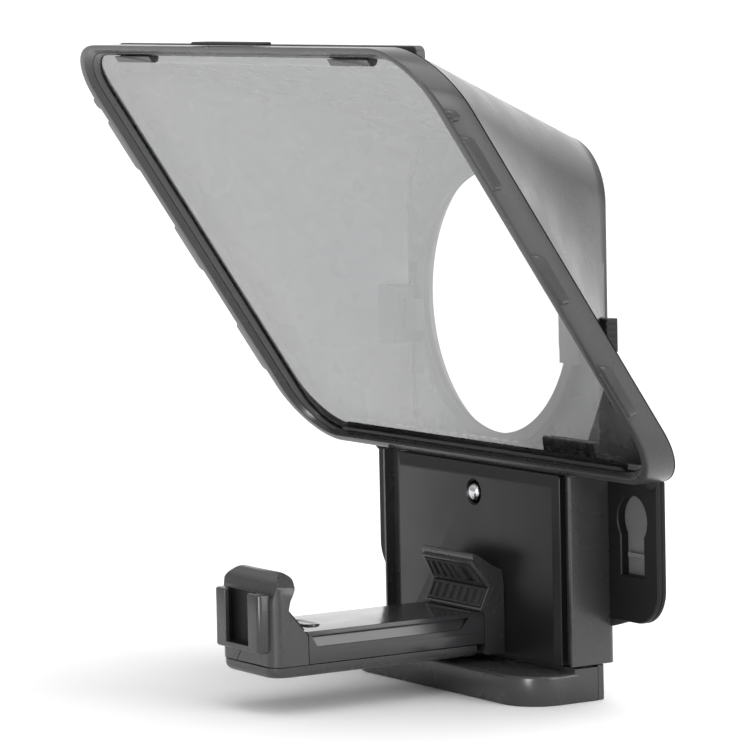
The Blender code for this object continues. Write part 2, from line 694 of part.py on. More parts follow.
def build_jaw_pads(material):
    lift = GAP
    upper = Vector((-0.0066, 0.0099)).normalized()
    upper_out = Vector((-upper[1], upper[0]))
    valley = Vector((-0.0046, JAW_VALLEY_Z))
    start = valley + upper * 0.0019 + upper_out * lift
    end = valley + upper * 0.0103 + upper_out * lift
    build_jaw_pad("rear_jaw_pad_upper", start, end, upper_out, 0.0160, 0.0138, material)
    lower = Vector((-0.0037, -0.0081)).normalized()
    lower_out = Vector((lower[1], -lower[0]))
    start = valley + lower * 0.0010 + lower_out * lift
    end = valley + lower * 0.0076 + lower_out * lift
    build_jaw_pad("rear_jaw_pad_lower", start, end, lower_out, 0.0162, 0.0162, material)


def build_arm(material):
    half = ARM_HALF_WIDTH
    shoulder = ARM_TOP - 0.0011
    profile = [
        (-half, ARM_BOTTOM), (half, ARM_BOTTOM), (half, shoulder), (half - ARM_EDGE, ARM_TOP),
        (ARM_EDGE - half, ARM_TOP), (-half, shoulder),
    ]
    arm = add_prism("arm_shell", profile, "y", ARM_FRONT_Y, ARM_BACK_Y, material)
    for side, label in ((-1, "left"), (1, "right")):
        groove = [(side * (half + 0.001), 0.0222), (side * (half - 0.0003), 0.0226),
                  (side * (half - 0.0028), shoulder), (side * (half + 0.001), shoulder + 0.0002)]
        cut(arm, add_prism(f"cut_arm_bevel_{label}", groove, "y", -0.0738, -0.0152))
    start, end = ARM_CAVITY
    floor = ARM_CAVITY_FLOOR
    cut(arm, add_box("cut_arm_cavity", (-0.0120, start, floor), (0.0120, end, 0.0240)),
        add_box("cut_arm_mouth", (-0.0080, start, ARM_BOTTOM - 0.0016), (0.0080, end, floor + 0.0008)),
        add_box("cut_arm_spring_end", (-0.0030, CLAMP_SPRING_Y[0] - GAP, floor),
                (0.0030, start + 0.001, 0.0220)),
        add_prism("cut_arm_button", button_outline(GAP), "z", BUTTON_BOTTOM - 0.0020, 0.0300))
    return arm


def button_outline(grow):
    """Oval outline of the release button, long across the arm."""
    radius = BUTTON_RADIUS + grow
    points = arc((BUTTON_REACH, BUTTON_Y), radius, -90, 90, 10)
    points += arc((-BUTTON_REACH, BUTTON_Y), radius, 90, 270, 10)
    return points


def build_button(material, spring_material):
    button = add_prism("release_button", button_outline(0.0), "z", BUTTON_BOTTOM, BUTTON_TOP, material,
                       (0.0, BUTTON_Y, BUTTON_BOTTOM))
    bevel(button, 0.0004, 2)
    add_coil("button_spring", "z", (0.0, BUTTON_Y), BUTTON_BOTTOM - 0.0019, BUTTON_BOTTOM - 0.0001,
             0.0016, 0.00012, 3, spring_material)


def build_slider(material, spring_material):
    half = SLIDER_HALF_WIDTH
    low = SLIDER_BOTTOM
    profile = [
        (-half + 0.0010, low), (half - 0.0010, low), (half, low + 0.0012), (half, SLIDER_TOP),
        (-half, SLIDER_TOP), (-half, low + 0.0012),
    ]
    slider = add_prism("slider_rail", profile, "y", SLIDER_FRONT_Y, -0.0112, material,
                       (0.0, -0.0500, low))
    start, end = SLIDER_HEAD
    fuse(slider, add_box("add_slider_neck", (-0.0077, start, 0.0150), (0.0077, end, 0.0190)),
         add_box("add_slider_head", (-0.0117, start, ARM_CAVITY_FLOOR + GAP), (0.0117, end, 0.0236)))
    add_coil("clamp_spring", "y", (0.0, 0.0201), *CLAMP_SPRING_Y, 0.0014, 0.00025, 11, spring_material)
    return slider


def build_front_jaw(material):
    side_view = [
        (-0.0782, SLIDER_TOP + GAP), (-0.0782, 0.0262), (-0.0856, 0.0346), (-0.0846, 0.0385),
        (-0.0826, 0.0420), (-0.0828, 0.0448), (-0.0850, 0.0471), (-0.0876, 0.0460), (-0.0893, 0.0438),
        (-0.0900, 0.0415), (-0.0900, 0.0208), (-0.0922, 0.0204), (-0.0928, 0.0180),
        (-0.0920, SLIDER_TOP + GAP),
    ]
    jaw = add_prism("front_jaw", side_view, "x", -0.0220, 0.0220, material, (0.0, -0.0850, 0.0163))
    half = ARM_HALF_WIDTH
    front_view = [(-half, 0.010), (half, 0.010), (half, 0.0395), (half - 0.0010, 0.0435),
                  (half - 0.0042, 0.0500), (-half + 0.0042, 0.0500), (-half + 0.0010, 0.0435),
                  (-half, 0.0395)]
    boolean(jaw, add_prism("keep_front_jaw", front_view, "y", -0.110, -0.060), "INTERSECT")
    return jaw


def build_front_jaw_pad(material):
    """Thin rubber lining in the hollow of the hook."""
    face = ((-0.0846, 0.0385), (-0.0856, 0.0346), (-0.0790, 0.0270))
    inner = []
    outer = []
    for y, z in face:
        inner.append((y + 0.0004, z + 0.0002))
        outer.append((y + 0.0013, z + 0.0009))
    side_view = inner + outer[::-1]
    return add_prism("front_jaw_pad", side_view, "x", -0.0150, 0.0150, material, (0.0, -0.0850, 0.0340))


def build_shoe(material):
    """Accessory shoe: a channel that is open at the top and stopped at its foot."""
    front = SHOE_FRONT_Y
    shoe = add_box("accessory_shoe", (-SHOE_HALF_WIDTH, front, SHOE_BOTTOM),
                   (SHOE_HALF_WIDTH, SHOE_BACK_Y, SHOE_TOP), material, (0.0, SHOE_BACK_Y, SHOE_BOTTOM))
    back = SHOE_BACK_Y - SHOE_WALL
    above = SHOE_TOP + 0.0042
    cut(shoe, add_box("cut_shoe_mouth", (-0.0072, front - 0.002, SHOE_FLOOR), (0.0072, back, above)),
        add_box("cut_shoe_channel", (-0.0093, front + 0.0016, SHOE_FLOOR), (0.0093, back, above)))
    return shoe


def main():
    clear_scene()
    shell = make_material("shell_black", (0.030, 0.030, 0.032), 0.42)
    dark = make_material("inner_black", (0.012, 0.012, 0.013), 0.60)
    plate = make_material("plate_black", (0.022, 0.022, 0.024), 0.38)
    glass = make_material("beam_splitter", (0.62, 0.62, 0.62), 0.04, 0.0, 0.5)
    rubber = make_material("rubber_black", (0.020, 0.020, 0.020), 0.80)
    steel = make_material("bright_steel", (0.62, 0.62, 0.64), 0.22, 1.0)
    brass = make_material("brass", (0.72, 0.55, 0.28), 0.30, 1.0)
    liner = make_material("satin_plate", (0.28, 0.28, 0.29), 0.45, 1.0)

    build_frame(shell)
    build_glass(glass)
    build_gasket(rubber)
    build_glass_trim(dark, dark)
    build_top_pad(rubber)
    build_hood(shell)
    build_rear_wall(shell)
    build_lens_ring(dark)
    for side, label in ((-1, "left"), (1, "right")):
        build_latch(side, label, dark, steel)
    build_rear_screws(steel)
    build_post(shell)
    build_keyhole_plates(liner)
    build_front_plate(plate)
    build_lock_pin(steel, dark, steel)
    build_foot(shell, steel)
    build_foot_strip(shell)
    build_tripod_bush(brass)
    build_rear_jaw(shell)
    build_jaw_pads(rubber)
    build_arm(shell)
    build_button(rubber, steel)
    build_slider(shell, steel)
    build_front_jaw(shell)
    build_front_jaw_pad(rubber)
    build_shoe(plate)


main()
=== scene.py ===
"""Looks of a portable beam-splitter teleprompter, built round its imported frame.

Metres, +Z up. The phone clamp reaches towards -Y and the lens opening faces +Y.
"""

import math

import bmesh
import bpy
from mathutils import Matrix, Vector


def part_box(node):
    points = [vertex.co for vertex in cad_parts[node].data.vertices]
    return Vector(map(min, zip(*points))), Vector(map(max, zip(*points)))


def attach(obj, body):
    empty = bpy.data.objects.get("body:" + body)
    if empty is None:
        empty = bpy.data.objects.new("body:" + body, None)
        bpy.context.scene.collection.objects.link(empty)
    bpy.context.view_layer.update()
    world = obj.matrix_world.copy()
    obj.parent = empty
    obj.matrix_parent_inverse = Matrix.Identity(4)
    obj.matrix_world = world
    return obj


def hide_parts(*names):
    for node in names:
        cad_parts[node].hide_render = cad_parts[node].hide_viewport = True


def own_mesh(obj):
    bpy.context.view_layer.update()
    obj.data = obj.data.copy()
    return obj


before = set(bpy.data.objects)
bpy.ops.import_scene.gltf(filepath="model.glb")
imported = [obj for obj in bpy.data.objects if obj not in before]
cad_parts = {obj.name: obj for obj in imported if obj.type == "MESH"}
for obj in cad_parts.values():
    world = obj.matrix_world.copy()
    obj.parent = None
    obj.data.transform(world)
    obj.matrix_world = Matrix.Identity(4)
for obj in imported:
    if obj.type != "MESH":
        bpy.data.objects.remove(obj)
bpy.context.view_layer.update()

MM = 0.001
GAP = 0.3 * MM                  # clearance between pieces that touch


def mm(*values):
    return [value * MM for value in values]



# The sloping band, read from the frame
BAND_LOW, BAND_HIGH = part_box("front_frame")
HOOD_LOW, HOOD_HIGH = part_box("hood_shell")
HALF = HOOD_HIGH.x              # half of the band's outside width
BOTTOM = BAND_LOW.z
TOP = BAND_HIGH.z
BAND_DEPTH = HOOD_LOW.y - GAP - BAND_LOW.y
FOOT_Y = BAND_HIGH.y - BAND_DEPTH
TILT = math.atan2(TOP - BOTTOM, FOOT_Y - BAND_LOW.y)
SLOPE = (TOP - BOTTOM) / math.sin(TILT)
CORNER = 24.0 * MM              # outside corner radius of the band
RIM_WALL = 5.2 * MM
EDGE_SIDE = 4.0 * MM            # flat front edge, then the outer bevel, then the inner one
SEAM_SIDE = 6.5 * MM
SEAM_DEPTH = 2.1 * MM
LIP_SIDE = 9.1 * MM
LIP_EDGE_DEPTH = 3.4 * MM
LIP_DEPTH = 4.0 * MM
GLASS_DEPTH = 2.4 * MM
FINGER_PADS = ((30.0, 51.0), (75.0, 95.0), (119.5, 141.0), (146.0, 151.0))
PAD_LIFT = 2.2 * MM
PAD_DEPTH = 4.8 * MM
CORNER_STEPS = 20

HOOD_START = BAND_DEPTH + GAP
HOOD_WALL = 2.2 * MM
REAR_Y = HOOD_HIGH.y
WALL_LOW, WALL_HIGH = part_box("rear_wall")
REAR_HALF = WALL_HIGH.x + HOOD_WALL + GAP
REAR_TOP = WALL_HIGH.z + HOOD_WALL + GAP
REAR_TOP_CORNER = 22.0 * MM
REAR_BOTTOM_CORNER = 6.0 * MM

RING_LOW, RING_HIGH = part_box("lens_ring")
LENS_Z = (RING_LOW.z + RING_HIGH.z) / 2.0
RING_OUTER = RING_HIGH.x
LENS_RADIUS = RING_OUTER - 4.5 * MM
LATCH_THICKNESS = 3.5 * MM

COAT_ALPHA = 0.35               # share of the light that the glass mirrors

REAR_SCREWS = ("rear_screw_1", "rear_screw_2", "rear_screw_3", "rear_screw_4")
FOOT_SCREWS = ("foot_screw_1", "foot_screw_2")

# Base, read from the frame
POST_LOW, POST_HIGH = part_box("base_post")
POST_HALF = 57.8 * MM
POST_BACK_Y = 17.9 * MM
POST_RIM = 1.3 * MM             # thin cheeks each side of the front plate
PLATE_LOW, PLATE_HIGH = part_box("front_plate")
PIN_LOW, PIN_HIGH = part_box("lock_pin")
PIN_Z = (PIN_LOW.z + PIN_HIGH.z) / 2.0
WING_FRONT_Y = 15.45 * MM
WING_BOTTOM = 27.5 * MM
WING_CORNER = 12.0 * MM
KEYHOLE_X, KEYHOLE_Z, KEYHOLE_RADIUS = 71.1 * MM, 61.8 * MM, 8.2 * MM
KEYHOLE_SLOT_HALF, KEYHOLE_SLOT_BOTTOM = 6.4 * MM, 43.2 * MM
FOOT_LOW, FOOT_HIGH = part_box("foot")
FOOT_TOP = 10.2 * MM
FOOT_STEP_TOP = 11.5 * MM
BUSH_LOW, BUSH_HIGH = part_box("tripod_bush")
BUSH_Y = (BUSH_LOW.y + BUSH_HIGH.y) / 2.0

# Phone clamp, read from the frame
ARM_LOW, ARM_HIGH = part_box("arm_shell")
ARM_HALF = ARM_HIGH.x
JAW_LOW, JAW_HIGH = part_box("rear_jaw")
VALLEY = Vector((-4.6 * MM, 35.3 * MM))
PAD_RIBS = 7                    # ribs on each pad of the rear jaw
HOOK_LOW, HOOK_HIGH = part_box("front_jaw")
JAW_CORNER = 5.2 * MM           # upright front corners of the front jaw and its rail
BUTTON_LOW, BUTTON_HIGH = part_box("release_button")
BUTTON_Y = (BUTTON_LOW.y + BUTTON_HIGH.y) / 2.0


# Building blocks
def add_mesh(name, points, faces):
    mesh = bpy.data.meshes.new(name)
    work = bmesh.new()
    verts = [work.verts.new(point) for point in points]
    for face in faces:
        work.faces.new([verts[index] for index in face])
    bmesh.ops.recalc_face_normals(work, faces=work.faces)
    work.to_mesh(mesh)
    work.free()
    piece = bpy.data.objects.new(name, mesh)
    bpy.context.collection.objects.link(piece)
    return piece


def add_loft(name, rings, looped=False):
    """Join rings of equal count. A looped loft closes on its first ring, others get end caps."""
    count = len(rings[0])
    points = [point for ring in rings for point in ring]
    faces = []
    for level in range(len(rings) if looped else len(rings) - 1):
        low = level * count
        high = (level + 1) % len(rings) * count
        for index in range(count):
            after = (index + 1) % count
            faces.append((low + index, low + after, high + after, high + index))
    if not looped:
        last = (len(rings) - 1) * count
        faces.append(tuple(range(count))[::-1])
        faces.append(tuple(range(last, last + count)))
    return add_mesh(name, points, faces)


def add_prism(name, outline, axis, low, high):
    """Extrude a flat outline along one axis; the outline holds the other two coordinates."""
    place = {
        "x": lambda u, v, w: (w, u, v),
        "y": lambda u, v, w: (u, w, v),
        "z": lambda u, v, w: (u, v, w),
    }[axis]
    return add_loft(name, [[place(u, v, w) for u, v in outline] for w in (low, high)])


def add_boxes(name, boxes):
    """Several separate boxes in one mesh."""
    points, faces = [], []
    for low, high in boxes:
        start = len(points)
        for z in (low[2], high[2]):
            points += [(x, y, z) for x, y in rectangle(low[0], high[0], low[1], high[1])]
        for quad in ((3, 2, 1, 0), (4, 5, 6, 7), (0, 1, 5, 4), (1, 2, 6, 5), (2, 3, 7, 6), (3, 0, 4, 7)):
            faces.append(tuple(start + index for index in quad))
    return add_mesh(name, points, faces)


def add_box(name, low, high):
    return add_boxes(name, [(low, high)])


def add_turned(name, axis, centre, profile, steps=72):
    """Turned piece from a profile of (radius, place along the axis)."""
    closed = profile[0][0] > 0.0
    points = []
    rows = []
    for radius, along in profile:
        row = []
        for step in range(steps if radius > 0.0 else 1):
            angle = 2.0 * math.pi * step / steps
            across = radius * math.cos(angle)
            up = radius * math.sin(angle)
            row.append(len(points))
            if axis == "y":
                points.append((centre[0] + across, along, centre[1] + up))
            else:
                points.append((centre[0] + across, centre[1] + up, along))
        rows.append(row)
    pairs = list(zip(rows, rows[1:]))
    if closed:
        pairs.append((rows[-1], rows[0]))
    faces = []
    for first, second in pairs:
        for step in range(steps):
            after = (step + 1) % steps
            corners = [first[step % len(first)], first[after % len(first)],
                       second[after % len(second)], second[step % len(second)]]
            faces.append(tuple(dict.fromkeys(corners)))
    return add_mesh(name, points, faces)


def arc(centre, radius, start, end, steps):
    """Points along an arc, angles in degrees."""
    points = []
    for step in range(steps + 1):
        angle = math.radians(start + (end - start) * step / steps)
        points.append((centre[0] + radius * math.cos(angle), centre[1] + radius * math.sin(angle)))
    return points


def circle(centre, radius, steps=48):
    return arc(centre, radius, 0.0, 360.0 - 360.0 / steps, steps - 1)


def rounded(corners, radii, steps=5):
    """The same outline with every corner turned into an arc of its own radius."""
    if not isinstance(radii, (list, tuple)):
        radii = [radii] * len(corners)
    points = []
    for index, corner in enumerate(corners):
        here = Vector(corner)
        to_before = Vector(corners[index - 1]) - here
        to_after = Vector(corners[(index + 1) % len(corners)]) - here
        half = to_before.angle(to_after) / 2.0
        if radii[index] <= 0.0 or half > math.radians(89.0):
            points.append(tuple(corner))
            continue
        longest = 0.48 * min(to_before.length, to_after.length)
        reach = min(radii[index] / math.tan(half), longest)
        radius = reach * math.tan(half)
        middle = (to_before.normalized() + to_after.normalized()).normalized()
        centre = here + middle * (radius / math.sin(half))
        start = here + to_before.normalized() * reach - centre
        end = here + to_after.normalized() * reach - centre
        first = math.atan2(start.y, start.x)
        turn = (math.atan2(end.y, end.x) - first + math.pi) % (2.0 * math.pi) - math.pi
        for step in range(steps + 1):
            angle = first + turn * step / steps
            points.append((centre.x + radius * math.cos(angle), centre.y + radius * math.sin(angle)))
    return points


def rectangle(u_low, u_high, v_low, v_high):
    return [(u_low, v_low), (u_high, v_low), (u_high, v_high), (u_low, v_high)]


def rounded_outline(half_width, low, high, low_radius, high_radius, side_steps=1):
    """Symmetrical outline with its own corner radius below and above."""
    start = low + low_radius
    rise = (high - high_radius - start) / side_steps
    side = [start + rise * step for step in range(1, side_steps)]
    points = arc((half_width - low_radius, start), low_radius, -90, 0, CORNER_STEPS)
    points += [(half_width, up) for up in side]
    points += arc((half_width - high_radius, high - high_radius), high_radius, 0, 90, CORNER_STEPS)
    points += arc((high_radius - half_width, high - high_radius), high_radius, 90, 180, CORNER_STEPS)
    points += [(-half_width, up) for up in side[::-1]]
    points += arc((low_radius - half_width, start), low_radius, 180, 270, CORNER_STEPS)
    return points


def combine(piece, helper, operation):
    """Boolean with a helper, which is used up."""
    step = piece.modifiers.new("combine", "BOOLEAN")
    step.operation = operation
    step.solver = "EXACT"
    step.object = helper
    graph = bpy.context.evaluated_depsgraph_get()
    result = bpy.data.meshes.new_from_object(piece.evaluated_get(graph))
    piece.modifiers.clear()
    piece.data = result
    bpy.data.objects.remove(helper)
    return piece


def join(piece, other):
    """Put another mesh into a piece without touching its shape."""
    work = bmesh.new()
    work.from_mesh(piece.data)
    work.from_mesh(other.data)
    work.to_mesh(piece.data)
    work.free()
    bpy.data.objects.remove(other)
    return piece


def cut(piece, *helpers):
    for helper in helpers:
        combine(piece, helper, "DIFFERENCE")
    return piece


def fuse(piece, *helpers):
    for helper in helpers:
        combine(piece, helper, "UNION")
    return piece


def round_edges(piece, width, segments=3, angle=32.0, clamp=True):
    step = piece.modifiers.new("edges", "BEVEL")
    step.width = width
    step.segments = segments
    step.limit_method = "ANGLE"
    step.angle_limit = math.radians(angle)
    step.use_clamp_overlap = clamp
    step.harden_normals = True
    return piece


def clean(piece):
    """Merge doubled points and drop the needless edges that a Boolean leaves."""
    work = bmesh.new()
    work.from_mesh(piece.data)
    bmesh.ops.remove_doubles(work, verts=work.verts, dist=0.01 * MM)
    bmesh.ops.dissolve_limit(work, angle_limit=math.radians(0.6), verts=work.verts, edges=work.edges)
    work.to_mesh(piece.data)
    work.free()
    return piece


def settle(piece, body, slot, material, *nodes, sharp=38.0):
    """Give a finished piece its material, smooth shading and body; slot is not used."""
    piece.data.materials.clear()
    piece.data.materials.append(material)
    piece.data.shade_smooth()
    piece.data.set_sharp_from_angle(angle=math.radians(sharp))
    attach(piece, body)
    if nodes:
        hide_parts(*nodes)
    return piece


# Materials
def add_node(tree, kind, **settings):
    node = tree.nodes.new(kind)
    for key, value in settings.items():
        setattr(node, key, value)
    return node


def add_noise(tree, scale, detail=2.0, stretch=(1.0, 1.0, 1.0)):
    place = add_node(tree, "ShaderNodeTexCoord")
    mapping = add_node(tree, "ShaderNodeMapping")
    mapping.inputs["Scale"].default_value = stretch
    noise = add_node(tree, "ShaderNodeTexNoise")
    noise.inputs["Scale"].default_value = scale
    noise.inputs["Detail"].default_value = detail
    tree.links.new(place.outputs["Object"], mapping.inputs["Vector"])
    tree.links.new(mapping.outputs["Vector"], noise.inputs["Vector"])
    return noise.outputs["Fac"]


def add_range(tree, value, low, high, start=0.3, end=0.7):
    spread = add_node(tree, "ShaderNodeMapRange")
    spread.inputs["From Min"].default_value = start
    spread.inputs["From Max"].default_value = end
    spread.inputs["To Min"].default_value = low
    spread.inputs["To Max"].default_value = high
    tree.links.new(value, spread.inputs["Value"])
    return spread.outputs["Result"]


def noise_range(tree, scale, detail, low, high, start=0.3, end=0.7):
    return add_range(tree, add_noise(tree, scale, detail), low, high, start, end)


def add_mix(tree, factor, first, second):
    mix = add_node(tree, "ShaderNodeMix", data_type="RGBA")
    tree.links.new(factor, mix.inputs["Factor"])
    for socket, colour in ((mix.inputs["A"], first), (mix.inputs["B"], second)):
        if isinstance(colour, bpy.types.NodeSocket):
            tree.links.new(colour, socket)
        else:
            socket.default_value = (*colour, 1.0)
    return mix.outputs["Result"]


def add_bump(tree, height, strength, distance, under=None):
    bump = add_node(tree, "ShaderNodeBump")
    bump.inputs["Strength"].default_value = strength
    bump.inputs["Distance"].default_value = distance
    tree.links.new(height, bump.inputs["Height"])
    if under is not None:
        tree.links.new(under, bump.inputs["Normal"])
    return bump.outputs["Normal"]


def start_material(name):
    material = bpy.data.materials.new(name)
    material.use_nodes = True
    return material, material.node_tree, material.node_tree.nodes["Principled BSDF"]


def moulded(name, colour, roughness, grain=0.10, edge_highlight=1.35, specular=0.5, grain_scale=2600.0):
    """Moulded plastic: spark-eroded grain, slow tone and gloss changes, and a painted highlight that lightens
    convex edges.
    """
    material, tree, shader = start_material(name)
    light = tuple(channel * 1.18 for channel in colour)
    dark = tuple(channel * 0.84 for channel in colour)
    highlight_tone = tuple(channel * edge_highlight + 0.004 for channel in colour)
    tone = add_mix(tree, noise_range(tree, 22.0, 4.0, 0.0, 1.0), dark, light)
    speckle = noise_range(tree, grain_scale, 2.0, 0.0, 0.22)
    tone = add_mix(tree, speckle, tone, light)
    geometry = add_node(tree, "ShaderNodeNewGeometry")
    # Convex edges found through pointiness are lightened: a painted highlight.
    edge = add_range(tree, geometry.outputs["Pointiness"], 0.0, 0.30, 0.53, 0.62)
    tree.links.new(add_mix(tree, edge, tone, highlight_tone), shader.inputs["Base Color"])
    gloss = noise_range(tree, 70.0, 5.0, roughness - 0.035, roughness + 0.045)
    tree.links.new(gloss, shader.inputs["Roughness"])
    shader.inputs["Specular IOR Level"].default_value = specular
    fine = add_bump(tree, add_noise(tree, grain_scale, 2.0), grain, 0.04 * MM)
    peel = add_bump(tree, add_noise(tree, 420.0, 1.0), 0.05, 0.10 * MM, fine)
    tree.links.new(peel, shader.inputs["Normal"])
    return material


def rubber(name, colour):
    """Matt rubber with a fine pebble and dusty high spots."""
    material, tree, shader = start_material(name)
    dusty = tuple(channel * 1.7 + 0.004 for channel in colour)
    dust = noise_range(tree, 160.0, 6.0, 0.0, 0.6, 0.45, 0.75)
    tree.links.new(add_mix(tree, dust, colour, dusty), shader.inputs["Base Color"])
    gloss = noise_range(tree, 90.0, 4.0, 0.62, 0.80)
    tree.links.new(gloss, shader.inputs["Roughness"])
    shader.inputs["Specular IOR Level"].default_value = 0.35
    pebble = add_bump(tree, add_noise(tree, 3200.0, 3.0), 0.25, 0.05 * MM)
    tree.links.new(pebble, shader.inputs["Normal"])
    return material


def metal(name, colour, roughness, stretch):
    """Machined metal: tool marks drawn out along one direction."""
    material, tree, shader = start_material(name)
    shade = tuple(channel * 0.82 for channel in colour)
    marks = add_noise(tree, 2400.0, 3.0, stretch)
    tree.links.new(add_mix(tree, marks, shade, colour), shader.inputs["Base Color"])
    shader.inputs["Metallic"].default_value = 1.0
    gloss = add_range(tree, add_noise(tree, 900.0, 3.0, stretch), roughness - 0.06, roughness + 0.10)
    tree.links.new(gloss, shader.inputs["Roughness"])
    lines = add_bump(tree, marks, 0.12, 0.01 * MM)
    tree.links.new(lines, shader.inputs["Normal"])
    return material


def mirror_coat(name):
    """Beam-splitter coat: part of the light is mirrored and the rest goes straight through."""
    material, tree, shader = start_material(name)
    tint = noise_range(tree, 9.0, 2.0, 0.0, 1.0)
    tree.links.new(add_mix(tree, tint, (0.93, 0.94, 0.95), (0.97, 0.97, 0.97)),
                   shader.inputs["Base Color"])
    shader.inputs["Metallic"].default_value = 1.0
    shader.inputs["Alpha"].default_value = COAT_ALPHA
    haze = noise_range(tree, 40.0, 6.0, 0.004, 0.02, 0.35, 0.75)
    tree.links.new(haze, shader.inputs["Roughness"])
    return material


def clear_edge(name):
    """Clear back face and ground edge of the glass."""
    material, tree, shader = start_material(name)
    tint = noise_range(tree, 300.0, 3.0, 0.0, 1.0)
    tree.links.new(add_mix(tree, tint, (0.030, 0.034, 0.034), (0.050, 0.054, 0.054)),
                   shader.inputs["Base Color"])
    shader.inputs["Alpha"].default_value = 0.06
    gloss = noise_range(tree, 500.0, 3.0, 0.03, 0.12)
    tree.links.new(gloss, shader.inputs["Roughness"])
    return material


# The sloping band: u runs across, s runs up the slope, d is depth along Y
def slope_point(u, s, d):
    return (u, FOOT_Y + d - s * math.cos(TILT), BOTTOM + s * math.sin(TILT))


def slope_ring(outline, d):
    return [slope_point(u, s, d) for u, s in outline]


def between(value, stops, results):
    """Straight-line lookup."""
    for index in range(len(stops) - 1):
        if value <= stops[index + 1] or index == len(stops) - 2:
            share = (value - stops[index]) / (stops[index + 1] - stops[index])
            return results[index] + share * (results[index + 1] - results[index])
    return results[-1]


def band_outline(inset, side_steps=1):
    """Outline of the band; its lip is narrower above and below than at the sides."""
    stops = (0.0, SEAM_SIDE, LIP_SIDE)
    low = between(inset, stops, (0.0, 3.7 * MM, 4.7 * MM))
    high = between(inset, stops, (0.0, 3.2 * MM, 4.3 * MM))
    radius = CORNER - inset
    return rounded_outline(HALF - inset, low, SLOPE - high, radius, radius, side_steps)


def build_band(material):
    """Band with a bevelled lip; a fine seam parts the outer bevel from the inner one."""
    seam = 0.15 * MM
    profile = rounded(
        [(0.0, BAND_DEPTH), (0.0, 0.0), (EDGE_SIDE, 0.0), (SEAM_SIDE - seam, SEAM_DEPTH - seam * 0.8),
         (SEAM_SIDE - seam * 0.6, SEAM_DEPTH + 0.5 * MM), (SEAM_SIDE + seam * 0.8, SEAM_DEPTH + 0.55 * MM),
         (SEAM_SIDE + seam, SEAM_DEPTH + seam * 0.6), (LIP_SIDE, LIP_EDGE_DEPTH), (LIP_SIDE, LIP_DEPTH),
         (RIM_WALL, LIP_DEPTH), (RIM_WALL, BAND_DEPTH)],
        mm(0.35, 0.8, 0.7, 0.12, 0.0, 0.0, 0.12, 0.25, 0.1, 0.1, 0.2), 4)
    rings = [slope_ring(band_outline(inset), depth) for inset, depth in profile]
    band = add_loft("front_frame_shell", rings, looped=True)
    for side in (-1, 1):
        for low, high in FINGER_PADS:
            join(band, finger_pad(side, low * MM, high * MM))
    return settle(band, "base", "shell", material, "front_frame")


def finger_pad(side, low, high):
    """Raised grip on the band's side: it flares towards the front edge and fades at both ends."""
    fade = 2.4 * MM
    rings = []
    for step in range(17):
        s = low + (high - low) * step / 16.0
        if step < 5 or step > 11:
            from_end = (step if step < 5 else 16 - step) / 5.0
            s = low + fade * from_end if step < 5 else high - fade * from_end
        share = math.sqrt(max(0.0, 1.0 - max(0.0, 1.0 - min(s - low, high - s) / fade) ** 2))
        edge = 0.06 * MM + PAD_LIFT * share
        step = 0.05 * MM + 0.75 * MM * share
        reach = 1.0 * MM + (PAD_DEPTH - MM) * share
        root = -1.0 * MM
        soft = 0.45 * MM * share
        profile = [(root, 0.4 * MM), (edge - soft, 0.4 * MM), (edge - soft * 0.3, 0.4 * MM + soft * 0.3),
                   (edge, 0.4 * MM + soft), (step + 0.1 * MM, reach - 0.5 * MM), (step, reach - 0.3 * MM),
                   (0.02 * MM, reach), (root, reach)]
        rings.append([slope_point(side * (HALF + u), s, d) for u, d in profile])
    return add_loft("finger_pad", rings)


def build_glass(coat, clear):
    low, high = LIP_DEPTH + GAP, LIP_DEPTH + GAP + GLASS_DEPTH
    inset = RIM_WALL + GAP
    edge = 0.25 * MM
    rings = [slope_ring(band_outline(inset + edge), low), slope_ring(band_outline(inset), low + edge),
             slope_ring(band_outline(inset), high - edge), slope_ring(band_outline(inset + edge), high)]
    glass = add_loft("beam_splitter_pane", rings)
    settle(glass, "base", "glass", clear, "beam_splitter_glass", sharp=20.0)
    glass.data.materials.append(coat)
    front = min(glass.data.polygons, key=lambda face: face.center.y + face.center.z - face.area)
    front.material_index = 1
    return glass


def rear_outline(inset, side_steps=1):
    return rounded_outline(REAR_HALF - inset, BOTTOM + inset, REAR_TOP - inset,
                           max(REAR_BOTTOM_CORNER - inset, 0.5 * MM), REAR_TOP_CORNER - inset, side_steps)


